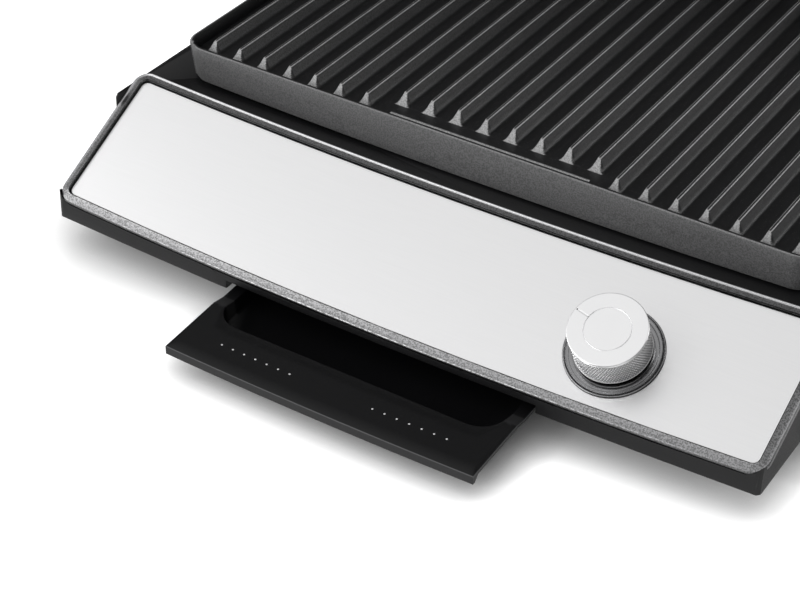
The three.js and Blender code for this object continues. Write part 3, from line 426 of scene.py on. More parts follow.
class CastPlate:
    """One ribbed plate, from its front edge at y = 0, with its rim at z = 0."""

    # Places across a rib's flank, as shares of it, and across the brow, from the crest's edge
    FLANK_SHARES = np.array([0.0, 0.14, 0.22, 0.32, 0.45, 0.62, 0.82, 1.0])
    BROW_PLACES = np.array([-0.34, -0.22, -0.1, 0.02, 0.12, 0.22, 0.34]) * MM
    # Places across the drain slot, as shares of its width
    SLOT_SHARES = np.array([-0.05, 0.0, 1.0, 1.05])
    RIM_SHARE = 0.6
    SIDE_MARGIN = 3 * MM
    ROW_STEP = 0.45 * MM
    MIDDLE_ROWS = 10
    ROUND_STEPS = 5
    SKIRT_STEPS = 6
    # The painted highlight line lies inside the crest's edge, and the slot's floor above the underside
    SHINE_INSET = 0.1 * MM
    SLOT_FLOOR = 0.6 * MM
    # Share of the end's slant from which a rib is whole, and shares of its height between which its
    # flank gets a faint painted sheen
    WHOLE = 0.97
    FLANK_LOW, FLANK_HIGH = 0.12, 0.8
    SLANT_MARGIN = 0.02
    # Share of the rim that gets a painted highlight, share of its slope from which the floor keeps its
    # painted highlights, how fast the painted highlight on the drain's roll brightens and where it ends, and
    # how far back the skirt's bow reaches, in corners
    RIM_BAND = 0.45
    FLOOR_SHARE = 0.9
    ROLL_GAIN = 3
    ROLL_END = 0.95
    BOW_REACH = 4
    # How much painted highlight each place gets, the edges in part as coating rubbed thin
    SLANT_PAINTED_HIGHLIGHT = 0.58
    FLANK_PAINTED_SHEEN = 0.10
    DRAIN_PAINTED_HIGHLIGHT = 0.7
    RIM_PAINTED_HIGHLIGHT = 0.55
    EDGE_PAINTED_HIGHLIGHT = 0.38
    SKIRT_PAINTED_LIGHT = 0.175

    def __init__(self, sizes, size, drain):
        self.sizes, self.drain = sizes, drain
        self.half, self.depth, self.skirt = size.x / 2, size.y, size.z
        count = 2 * int((self.half - self.SIDE_MARGIN) / sizes.rib_pitch)
        self.ribs = (np.arange(count) - (count - 1) / 2) * sizes.rib_pitch

    def rim_marks(self):
        """Distances from the plate's edge at which its rim turns."""
        s = self.sizes
        return np.array([s.rim_round, s.rim * self.RIM_SHARE, s.rim, s.rim + s.rim_fall * 0.5,
                         s.rim + s.rim_fall])

    def lines(self):
        """X lines of the grid: close together on the flanks of each rib and apart on the floor."""
        s = self.sizes
        flank = self.FLANK_SHARES * (s.rib_foot - s.rib_crest) / 2
        right = s.rib_crest / 2 + np.unique(np.concatenate([self.BROW_PLACES, flank]))
        across = np.concatenate([-right[::-1], [0.0], right])
        border = self.half - self.rim_marks()
        lines = np.concatenate([(self.ribs[:, None] + across).ravel(), border, -border])
        lines = np.unique(np.round(lines, 7))
        return lines[np.abs(lines) <= self.half - s.rim_round + ROUNDING]

    def rows(self):
        """Y lines of the grid: close together where ribs end and at the drain, apart between."""
        s = self.sizes
        marks = self.rim_marks()
        front = np.arange(marks[-1], s.rib_front + s.set_back + s.rib_run, self.ROW_STEP)
        far = self.depth - s.rib_front
        back = np.arange(far - MM, far + s.rib_run + MM, self.ROW_STEP)
        middle = np.linspace(front[-1], back[0], self.MIDDLE_ROWS)[1:-1]
        slot = s.drain_from_rim + self.SLOT_SHARES * s.drain_slot
        crests = np.array([s.rib_front, s.rib_front + s.set_back])
        rows = [marks, self.depth - marks, front, middle, back, slot, crests, crests - s.rib_run]
        rows = np.unique(np.round(np.concatenate(rows), 6))
        return rows[(rows >= s.rim_round - ROUNDING) & (rows <= self.depth - s.rim_round + ROUNDING)]

    def grid(self):
        """The grid's places, with each corner's square of them moved onto its quarter disc: a square ring
        of side r goes to the arc of radius r, at an angle in step with the place along the ring."""
        edge = self.sizes.rim_round
        x, y = np.meshgrid(self.lines(), self.rows())
        corner = self.sizes.corner - edge
        side, end = self.half - edge - corner, self.depth / 2 - corner
        a = (np.abs(x) - side) / corner
        b = (np.abs(y - self.depth / 2) - end) / corner
        r = np.maximum(a, b)
        small = np.minimum(a, b) / np.where(r > 0, r, 1)
        turn = np.where(a >= b, small * math.pi / 4, math.pi / 2 - small * math.pi / 4)
        in_corner = (a > 0) & (b > 0)
        round_x = np.sign(x) * (side + corner * r * np.cos(turn))
        round_y = self.depth / 2 + np.sign(y - self.depth / 2) * (end + corner * r * np.sin(turn))
        return np.where(in_corner, round_x, x), np.where(in_corner, round_y, y)

    def ribbed(self, x, y):
        """Height of the ribs as a share of their full height, and how much painted highlight they get. A rib
        rises as (1 - t)^p, t being the share of its flank, rounded at the crest by a hyperbola. A slanted
        plane cuts its ends, so the lower of the two counts. The crest's edges and the slants get painted
        highlights, partly as coating rubbed thin, and the middle of the flanks a faint painted sheen."""
        s = self.sizes
        away = np.abs(x[..., None] - self.ribs)
        past = away.min(-1) - s.rib_crest / 2
        rounded = (past + np.hypot(past, s.rib_brow)) / 2
        flank = (1 - np.clip(rounded / ((s.rib_foot - s.rib_crest) / 2), 0, 1)) ** s.rib_hollow
        in_middle = np.abs(away.argmin(-1) - (len(self.ribs) - 1) / 2) < s.set_back_ribs / 2
        start = s.rib_front + np.where(in_middle & self.drain, s.set_back, 0.0)
        near = (y - (start - s.rib_run)) / s.rib_run
        far = ((self.depth - s.rib_front + s.rib_run) - y) / s.rib_run
        slant = np.clip(np.minimum(near, far), 0, 1)
        whole = slant > self.WHOLE
        painted_light_and_wear = [np.exp(-((past + self.SHINE_INSET) / s.rib_shine) ** 2) * whole,
                self.SLANT_PAINTED_HIGHLIGHT * (slant < flank - self.SLANT_MARGIN) * (slant > 0.0),
                self.FLANK_PAINTED_SHEEN * (flank > self.FLANK_LOW) * (flank < self.FLANK_HIGH) * whole]
        return np.minimum(flank, slant), np.maximum.reduce(painted_light_and_wear)

    def drained(self, x, y, floor, painted_light_and_wear):
        """Sinks the drain slot into the floor, which rolls down to it on a quarter circle with a painted
        highlight.
        """
        s = self.sizes
        past = y - (s.drain_from_rim + s.drain_slot)
        along = np.abs(x) <= s.drain_width / 2
        lip = along & (past >= 0)
        roll = np.clip(1 - past / s.drain_lip, 0, 1)
        rolled = floor - s.drain_lip * (1 - np.sqrt(np.clip(1 - roll ** 2, 0, 1)))
        floor = np.where(lip, rolled, floor)
        floor = np.where(along & (past < 0) & (y >= s.drain_from_rim), -s.under + self.SLOT_FLOOR, floor)
        bright = self.DRAIN_PAINTED_HIGHLIGHT * np.clip(roll * self.ROLL_GAIN, 0, 1) * (roll < self.ROLL_END)
        return floor, np.where(lip, np.maximum(painted_light_and_wear, bright), painted_light_and_wear)

    def height(self, x, y):
        """Height of the cooking surface, and how much painted highlight it gets, with a painted band along
        the rim. The floor lies a rib's height below the rim, and rises to it in step with the distance from
        the rounded outline."""
        s = self.sizes
        rib, painted_light_and_wear = self.ribbed(x, y)
        floor = -s.rib_height * (1 - rib)
        if self.drain:
            floor, painted_light_and_wear = self.drained(x, y, floor, painted_light_and_wear)
        from_middle = np.abs(y - self.depth / 2)
        dx = np.maximum(np.abs(x) - (self.half - s.corner), 0)
        dy = np.maximum(from_middle - (self.depth / 2 - s.corner), 0)
        inward = np.where((dx > 0) & (dy > 0), s.corner - np.hypot(dx, dy),
                          np.minimum(self.half - np.abs(x), self.depth / 2 - from_middle))
        share = np.clip((inward - s.rim) / s.rim_fall, 0, 1)
        rim = (inward < s.rim * self.RIM_BAND) * self.RIM_PAINTED_HIGHLIGHT
        return floor * share, np.maximum(painted_light_and_wear * (share > self.FLOOR_SHARE), rim)

    def skirt_loops(self, rim):
        """Loops from the rim over its round edge, down the skirt, under it and up inside. The skirt's lower
        edge sags on a circle at the front of a plate that drains."""
        s = self.sizes
        edge = s.rim_round
        away = rim[:, 1] - self.depth / 2
        dx = np.clip(np.abs(rim[:, 0]) - (self.half - s.corner), 0, None) * np.sign(rim[:, 0])
        dy = np.clip(np.abs(away) - (self.depth / 2 - s.corner), 0, None) * np.sign(away)
        normal = np.column_stack([dx, dy])
        normal /= np.maximum(np.linalg.norm(normal, axis=1, keepdims=True), 1e-9)
        frontness = np.clip(1 - (rim[:, 1] - s.corner) / (self.BOW_REACH * s.corner), 0, 1)
        bow = sag(rim[:, 0], s.skirt_bow) * frontness * self.drain

        def level(grow, height, bowed):
            """The rim moved outwards and to a height, with a share of the bow."""
            flat = rim[:, :2] + normal * (grow + edge)
            flat[:, 1] += bow * bowed
            return np.column_stack([flat, np.full(len(flat), height)])

        turns = np.linspace(0, math.pi / 2, self.ROUND_STEPS)[1:]
        loops = [level(-edge + edge * math.sin(t), -edge + edge * math.cos(t), 0) for t in turns]
        deep = -self.skirt + edge
        shares = np.linspace(0, 1, self.SKIRT_STEPS)[1:]
        loops += [level(0, -edge + (deep + edge) * share, share) for share in shares]
        loops.append(level(-edge * HALF_ROUND, -self.skirt + edge * HALF_ROUND, 1))
        loops += [level(-inset, -self.skirt, 1) for inset in (edge, s.wall)]
        return loops + [level(-s.wall - s.rim_fall, -s.under, 0)]


def cooking_plate(name, node, body, place, drain):
    """A cast plate as one closed skin: the ribbed top, then down the skirt and up inside it to a flat
    underside. Both plates have the lower one's size."""
    low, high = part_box("lower_plate")
    plate = CastPlate(bpy.context.scene.grill_plate, high - low, drain)
    x, y = plate.grid()
    z, top_painted_light = plate.height(x, y)
    top = np.column_stack([x.ravel(), y.ravel(), z.ravel()])
    index = np.arange(len(top)).reshape(x.shape)
    border = np.concatenate([index[0, :-1], index[:-1, -1], index[-1, :0:-1], index[:0:-1, 0]])
    loops = plate.skirt_loops(top[border])
    count = len(border)
    quads = [grid_faces(*x.shape)]
    previous = border
    for k in range(len(loops)):
        current = len(top) + k * count + np.arange(count)
        quads.append(np.stack([previous, current, np.roll(current, -1), np.roll(previous, -1)], 1))
        previous = current
    piece = make_piece(name, np.concatenate([top, *loops]), np.concatenate(quads), body,
                       materials()["coating"], [node], place, [previous[::-1]], smooth_angle=32.0)
    # The rim's outer edge gets a painted highlight and the skirt a faint painted light
    store_painted_light_and_wear(piece, np.concatenate([top_painted_light.ravel(), np.full(count, plate.EDGE_PAINTED_HIGHLIGHT),
                                np.full(count * (len(loops) - 1), plate.SKIRT_PAINTED_LIGHT)]))


# Finishes


class Graph:
    """Short calls that add nodes to one tree and link them."""

    def __init__(self, tree):
        self.tree = tree

    def feed(self, target, value):
        """Links an output to an input, or sets the input to a constant."""
        if isinstance(value, bpy.types.NodeSocket):
            self.tree.links.new(value, target)
        else:
            target.default_value = value

    def add(self, kind, inputs=None, **settings):
        """A new node. Its settings come first, then each input takes a constant or another's output."""
        node = self.tree.nodes.new("ShaderNode" + kind)
        for name, value in settings.items():
            setattr(node, name, value)
        for place, value in (inputs or {}).items():
            self.feed(node.inputs[place], value)
        return node

    def ranged(self, value, low, high, to_low=0.0, to_high=1.0):
        """The value carried from one range to another, and held at its ends."""
        limits = {"From Min": low, "From Max": high, "To Min": to_low, "To Max": to_high}
        return self.add("MapRange", {"Value": value, **limits}).outputs["Result"]

    def maths(self, operation, one, other):
        """One value worked out from two."""
        return self.add("Math", {0: one, 1: other}, operation=operation).outputs[0]

    def seen_only(self, hidden, seen):
        """The second shader for rays from the camera, and the first for all others."""
        ray = self.add("LightPath").outputs["Is Camera Ray"]
        return self.add("MixShader", {0: ray, 1: hidden.outputs[0], 2: seen.outputs[0]})


class Finish(Graph):
    """A Principled material whose grain comes from noise on Object coordinates."""

    # Nearly all of the noise lies between these
    NOISE_LOW, NOISE_HIGH = 0.3, 0.7

    def __init__(self, name, base, roughness, metallic=0.0, specular=0.5):
        self.material = bpy.data.materials.new(name)
        self.material.use_nodes = True
        super().__init__(self.material.node_tree)
        self.shader = self.tree.nodes["Principled BSDF"]
        self.base, self.roughness = (*base, 1.0), roughness
        for place, value in (("Base Color", self.base), ("Roughness", roughness), ("Metallic", metallic),
                             ("Specular IOR Level", specular)):
            self.feed(self.shader.inputs[place], value)
        self.place = self.add("TexCoord").outputs["Object"]

    def mapped(self, stretch=(1, 1, 1)):
        """Object coordinates, stretched."""
        return self.add("Mapping", {"Scale": stretch, "Vector": self.place}).outputs["Vector"]

    def noise(self, scale, stretch=(1, 1, 1), detail=4.0):
        """Noise with that many cells in a metre."""
        inputs = {"Scale": scale, "Detail": detail, "Vector": self.mapped(stretch)}
        return self.add("TexNoise", inputs).outputs["Fac"]

    def cells(self, scale):
        """Distance from the middle of the nearest cell, with that many cells in a metre."""
        return self.add("TexVoronoi", {"Scale": scale, "Vector": self.mapped()}).outputs["Distance"]

    def attribute(self, name):
        """What store_painted_light_and_wear() stored under that name."""
        return self.add("Attribute", attribute_name=name).outputs["Fac"]

    def tint(self, value, other):
        """Mixes the colour so far with another where value is 1."""
        target = self.shader.inputs["Base Color"]
        before = target.links[0].from_socket if target.is_linked else self.base
        mixed = self.add("Mix", {0: value, 6: before, 7: (*other, 1.0)}, data_type="RGBA")
        self.feed(target, mixed.outputs[2])
        return self

    def patches(self, scale, share):
        """Drifts the colour towards a share of itself in soft patches."""
        return self.tint(self.noise(scale), shifted(self.base[:3], share))

    def rough(self, value, spread):
        """Lets the roughness vary by the spread to either side."""
        result = self.ranged(value, self.NOISE_LOW, self.NOISE_HIGH, self.roughness - spread,
                             self.roughness + spread)
        self.feed(self.shader.inputs["Roughness"], result)
        return self

    def bump(self, value, height):
        """Raises the surface by up to the height."""
        raised = self.add("Bump", {"Distance": height, "Height": value}).outputs["Normal"]
        self.feed(self.shader.inputs["Normal"], raised)
        return self


def shifted(base, share):
    """A colour made lighter or darker."""
    return tuple(min(1.0, channel * share) for channel in base)


def brushed_panel(colours):
    """Brushed metal: fine noise drawn out along the panel's width."""
    finish = Finish("brushed panel", colours.panel, roughness=0.38, metallic=1.0)
    brush = finish.noise(2600, stretch=(0.02, 1, 1))
    finish.tint(finish.ranged(brush, 0.35, 0.65), shifted(colours.panel, 0.985))
    return finish.rough(brush, spread=0.015).bump(brush, height=0.0008 * MM)


def satin_trim(colours):
    """Grainy satin metal, with a painted highlight along its outer edges, strongest on the back bead, and
    painted shade along its inner edge where it meets the panel.
    """
    finish = Finish("satin trim", colours.trim, roughness=0.36, metallic=1.0)
    grain = finish.noise(1600, detail=2)
    finish.tint(finish.ranged(grain, 0.44, 0.58), shifted(colours.trim, 0.48))
    finish.rough(grain, spread=0.08).bump(grain, height=0.03 * MM)
    # Painted highlight on the outer edges, then painted shade along the gap to the panel
    finish.tint(finish.attribute("painted_light_and_wear"), shifted(colours.trim, 1.6))
    return finish.tint(finish.attribute("painted_gap_shade"), colours.moulding)


def black_moulding(colours):
    """Black plastic with a fine texture."""
    finish = Finish("black moulding", colours.moulding, roughness=0.42)
    grain = finish.noise(1300, detail=2)
    return finish.patches(60, 1.3).rough(grain, spread=0.06).bump(grain, height=0.012 * MM)


def speckled_coating(colours):
    """Black release coating with fine pale specks, and a mottled grey painted highlight, in part coating
    rubbed thin, where the piece says.
    """
    finish = Finish("speckled coating", colours.coating, roughness=0.40, specular=0.55)
    grain = finish.noise(1500, detail=3)
    finish.tint(finish.ranged(grain, 0.42, 0.62), shifted(colours.coating, 2.0))
    finish.tint(finish.ranged(finish.cells(650), 0.0, 0.22, 1.0, 0.0), colours.speck)
    mottle = finish.ranged(grain, 0.38, 0.60, 0.5, 0.95)
    finish.tint(finish.maths("MULTIPLY", finish.attribute("painted_light_and_wear"), mottle), colours.painted_light_and_wear)
    return finish.rough(grain, spread=0.07).bump(grain, height=0.025 * MM)


def satin_tray(colours):
    """Satin black, with a painted highlight along its edges, on its lip and on its ramps."""
    finish = Finish("satin tray", colours.tray, roughness=0.34, specular=0.36)
    grain = finish.noise(1800, detail=2)
    finish.patches(40, 1.3).rough(grain, spread=0.05).bump(grain, height=0.008 * MM)
    return finish.tint(finish.attribute("painted_light_and_wear"), colours.tray_edge_highlight)


def ink(name, base):
    """A thin flat layer of ink."""
    finish = Finish(name, base, roughness=0.5)
    return finish.rough(finish.noise(800), spread=0.05)


def light_dots(colours):
    """Pale ink."""
    return ink("light dots", colours.dots)


def dark_mark(colours):
    """Black ink."""
    return ink("dark mark", colours.moulding)


def turned_knob(colours):
    """Bright turned metal."""
    finish = Finish("turned knob", colours.knob, roughness=0.30, metallic=1.0)
    return finish.patches(90, 0.97).rough(finish.noise(60), spread=0.02)


def knurled_sleeve(colours):
    """Bright metal, with painted shade in the knurl's grooves and round its lower edge."""
    finish = Finish("knurled sleeve", colours.sleeve, roughness=0.30, metallic=1.0)
    finish.patches(90, 0.96).rough(finish.noise(60), spread=0.02)
    return finish.tint(finish.attribute("painted_light_and_wear"), shifted(colours.sleeve, 0.3))


def polished_bezel(colours):
    """Dark polished metal, nearly black where painted shade lies at its outer gap and in its channels."""
    finish = Finish("polished bezel", colours.bezel, roughness=0.26, metallic=1.0)
    finish.patches(70, 1.2).rough(finish.noise(700), spread=0.03)
    return finish.tint(finish.attribute("painted_light_and_wear"), shifted(colours.bezel, 0.06))


def plain_steel(colours):
    """Rolled steel."""
    finish = Finish("plain steel", colours.steel, roughness=0.36, metallic=1.0)
    grain = finish.noise(500, stretch=(0.05, 1, 1))
    return finish.patches(25, 0.8).rough(grain, spread=0.08).bump(grain, height=0.006 * MM)


def heater_tube(colours):
    """Dull metal with scorched patches."""
    finish = Finish("heater tube", colours.heater, roughness=0.5, metallic=0.8)
    return finish.tint(finish.noise(40), colours.scorch).rough(finish.noise(900), spread=0.1)


def rubber_foot(colours):
    """Matt black rubber."""
    finish = Finish("rubber foot", colours.rubber, roughness=0.8)
    return finish.patches(90, 1.5).bump(finish.noise(1200), height=0.02 * MM)


def thermostat_case(colours):
    """Cream plastic."""
    finish = Finish("thermostat case", colours.cream, roughness=0.55)
    return finish.patches(50, 0.9).bump(finish.noise(900), height=0.01 * MM)


FINISHES = {
    "panel": brushed_panel, "trim": satin_trim, "moulding": black_moulding, "coating": speckled_coating,
    "tray": satin_tray, "dots": light_dots, "knob": turned_knob, "sleeve": knurled_sleeve,
    "bezel": polished_bezel, "mark": dark_mark, "steel": plain_steel, "heater": heater_tube,
    "rubber": rubber_foot, "cream": thermostat_case,
}
made = {}


def materials():
    """Every finish's material by name, made once."""
    if not made:
        colours = bpy.context.scene.grill_colours
        made.update({name: finish(colours).material for name, finish in FINISHES.items()})
    return made


# Softened mouldings


def vent_face(face):
    """Whether a face is the wall of a vent: tiny, or small and square to the width."""
    area = face.calc_area()
    return area < TINY_FACE or (area < SMALL_FACE and abs(face.normal.x) > SQUARE)


def softened(name, node, finish, width):
    """A merged copy of a frame node whose long outer edges are bevelled. Coplanar triangles are joined
    first. An edge is bevelled where it is convex, turns by more than the least angle, isn't very short
    and isn't a vent's."""
    source = frame["nodes"][node]
    form = bmesh.new()
    form.from_mesh(source.data)
    form.normal_update()
    bmesh.ops.remove_doubles(form, verts=form.verts, dist=2 * SAME_PLACE)
    bmesh.ops.dissolve_limit(form, angle_limit=FLAT_BEND, verts=form.verts, edges=form.edges)
    weight = form.edges.layers.float.new("bevel_weight_edge")
    for edge in form.edges:
        if edge.is_manifold and edge.calc_face_angle_signed() > LEAST_BEND:
            in_vent = any(map(vent_face, edge.link_faces))
            edge[weight] = float(edge.calc_length() > SHORTEST_EDGE and not in_vent)
    mesh = bpy.data.meshes.new(name)
    form.to_mesh(mesh)
    form.free()
    piece = new_object(name, mesh)
    bevel = piece.modifiers.new("edges", "BEVEL")
    bevel.limit_method = "WEIGHT"
    bevel.width = width
    bevel.segments = BEVEL_SEGMENTS
    bevel.use_clamp_overlap = False
    finished = bpy.data.meshes.new_from_object(piece.evaluated_get(bpy.context.evaluated_depsgraph_get()))
    piece.modifiers.clear()
    piece.data = finished
    bpy.data.meshes.remove(mesh)
    finished.name = name
    shade(piece, 40.0)
    finished.materials.clear()
    finished.materials.append(materials()[finish])
    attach(piece, body_of(source)[0])
    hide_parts(node)


# Steps


class GRILL_OT_mouldings(bpy.types.Operator):
    """Build the base, the lid's shell and panel, the handle, the hinge arms and the feet with soft edges"""

    bl_idname = "grill.mouldings"
    bl_label = "Mouldings"

    # Piece, frame node, finish and width of the bevel in millimetres
    SOFT = (
        ("base_shell", "base_housing", "moulding", 0.7),
        ("lid_shell", "lid_housing", "moulding", 0.9),
        ("lid_skin", "lid_panel", "panel", 0.35),
        ("grip_tube", "handle_grip", "panel", 0.5),
        ("grip_post_left", "handle_post_left", "moulding", 1.4),
        ("grip_post_right", "handle_post_right", "moulding", 1.4),
        ("hinge_leaf_left", "hinge_arm_left", "moulding", 0.8),
        ("hinge_leaf_right", "hinge_arm_right", "moulding", 0.8),
        ("cord_gland", "cable_gland", "moulding", 0.5),
    )
    FOOT_BEVEL = 0.6 * MM

    def execute(self, context):
        for name, node, finish, width in self.SOFT:
            softened(name, node, finish, width * MM)
        for part in frame["record"]["subparts"]:
            if part["node"].startswith("foot_"):
                softened("pad_" + part["node"], part["node"], "rubber", self.FOOT_BEVEL)
        return {"FINISHED"}


class GRILL_OT_frame_finishes(bpy.types.Operator):
    """Give every node of the frame its finish"""

    bl_idname = "grill.frame_finishes"
    bl_label = "Frame finishes"

    FINISH_OF_SLOT = {
        "brushed_metal": "panel", "satin_grey": "trim", "black_moulding": "moulding",
        "cast_coating": "coating", "tray_black": "tray", "knob_metal": "knob", "bezel_dark": "bezel",
        "plain_steel": "steel", "heater_steel": "heater", "rubber": "rubber", "cream_plastic": "cream",
    }

    def execute(self, context):
        for part in frame["record"]["subparts"]:
            mesh = frame["nodes"][part["node"]].data
            mesh.materials.clear()
            mesh.materials.append(materials()[self.FINISH_OF_SLOT[part["material_slot"]]])
        return {"FINISHED"}


class GRILL_OT_cooking_plates(bpy.types.Operator):
    """Build the two ribbed cast plates"""

    bl_idname = "grill.cooking_plates"
    bl_label = "Cooking plates"

    def execute(self, context):
        cooking_plate("cast_plate_lower", "lower_plate", "base", lower_plate_frame(), True)
        cooking_plate("cast_plate_upper", "upper_plate", "lid", upper_plate_frame(), False)
        return {"FINISHED"}


class GRILL_OT_panel_trim(bpy.types.Operator):
    """Build the rounded trim that frames the control panel"""

    bl_idname = "grill.panel_trim"
    bl_label = "Panel trim"

    CORNER_STEPS = 8
    EDGE_STEPS = 40
    LEAST_CORNER = 0.1 * MM
    # Where the front bar's roll and the back bar's bead end, in degrees
    ROLL_END = 76
    BEAD_END = 150
    BAND_INSET = 1.3 * MM
    ROLL_LIFT = 0.02 * MM
    BAND_SHARES = (0.66, 0.33, 0.0)
    # Painted highlight on the front roll as a share of that on the back bead, and the distance over which the
    # painted shade on the inner edge fades out at the sides
    ROLL_SHINE = 0.05
    PAINTED_SHADE_FADE = 2 * MM

    def outline(self, sizes, grow, level):
        """The panel's outline moved outwards by grow: straight sides, round corners, and front and back
        edges that each sag on a circle."""
        half = sizes.width / 2 + grow
        front, back = -grow, sizes.depth + grow
        radius = max(sizes.corner + grow, self.LEAST_CORNER)
        arc = np.linspace(0, math.pi / 2, self.CORNER_STEPS)
        run = np.linspace(-(half - radius), half - radius, self.EDGE_STEPS)[1:-1]

        def corner(side, y, start, bow):
            """A quarter circle that sags with its edge."""
            x = side * (half - radius) + radius * np.cos(arc + start)
            return np.stack([x, y + radius * np.sin(arc + start) + sag(x, bow)], 1)

        flat = np.concatenate([
            np.stack([run, front + sag(run, sizes.front_bow)], 1),
            corner(1, front + radius, -math.pi / 2, sizes.front_bow),
            corner(1, back - radius, 0, sizes.back_bow),
            np.stack([run[::-1], back + sag(run, sizes.back_bow)], 1),
            corner(-1, back - radius, math.pi / 2, sizes.back_bow),
            corner(-1, front + radius, math.pi, sizes.front_bow),
        ])
        return np.column_stack([flat, np.full(len(flat), level)])

    def outer_edge(self, sizes, radius, top, end, band):
        """Section of a bar's outer edge: an arc from the outer face up to its end, then the band's start."""
        arc = round_corner((sizes.trim_width - radius, top - radius), radius, 0, end, 9)
        return arc + [(sizes.trim_width - self.BAND_INSET, band)]

    def between(self, sizes, front, back):
        """A loop that follows one section at the panel's front and another at its back, and in between
        changes in step with the distance up the slope, which is its second result."""
        ahead = self.outline(sizes, *front)
        behind = self.outline(sizes, *back)
        share = np.clip(ahead[:, 1:2] / sizes.depth, 0, 1)
        return ahead * (1 - share) + behind * share, share[:, 0]

    def execute(self, context):
        sizes = context.scene.grill_panel
        edge = sizes.trim_gap + sizes.trim_edge
        low = sizes.trim_rise - sizes.trim_fall
        profile = [((reach, -sizes.thickness),) * 2 for reach in (sizes.trim_gap, sizes.trim_width)]
        foot = len(profile)
        rolled = self.outer_edge(sizes, sizes.trim_roll, low, self.ROLL_END, low + self.ROLL_LIFT)
        beaded = self.outer_edge(sizes, sizes.trim_bead, low + sizes.trim_step, self.BEAD_END, low)
        profile += zip(rolled, beaded)
        bright = len(profile) - 1
        for share in self.BAND_SHARES:
            reach = edge + (sizes.trim_width - self.BAND_INSET - edge) * share
            profile.append(((reach, low + (sizes.trim_rise - low) * (1 - share)),) * 2)
        plain = len(profile)
        inner_edge = round_corner((edge, sizes.trim_rise - sizes.trim_edge), sizes.trim_edge, 88, 180, 4)
        profile += [(point, point) for point in inner_edge]
        loops, behind = zip(*[self.between(sizes, *pair) for pair in profile])
        painted_light_and_wear = np.zeros((len(loops), len(loops[0])))
        painted_gap_shade = painted_light_and_wear.copy()
        # A painted highlight along the outer edge, growing from the front roll to the back bead
        painted_light_and_wear[foot:bright] = self.ROLL_SHINE + (1 - self.ROLL_SHINE) * np.array(behind[foot:bright])
        # Painted shade along the inner edge, where the gap to the panel lies, fading out at the sides
        from_middle = np.abs(loops[-1][:, 0])
        painted_gap_shade[plain:] = np.clip((from_middle.max() - from_middle) / self.PAINTED_SHADE_FADE, 0, 1)
        points, quads = ring_skin(loops)
        trim = make_piece("trim_frame", points, quads, "base", materials()["trim"],
                          ["panel_trim"], panel_frame(), smooth_angle=30.0)
        store_painted_light_and_wear(trim, painted_light_and_wear.ravel())
        store_painted_light_and_wear(trim, painted_gap_shade.ravel(), "painted_gap_shade")
        return {"FINISHED"}


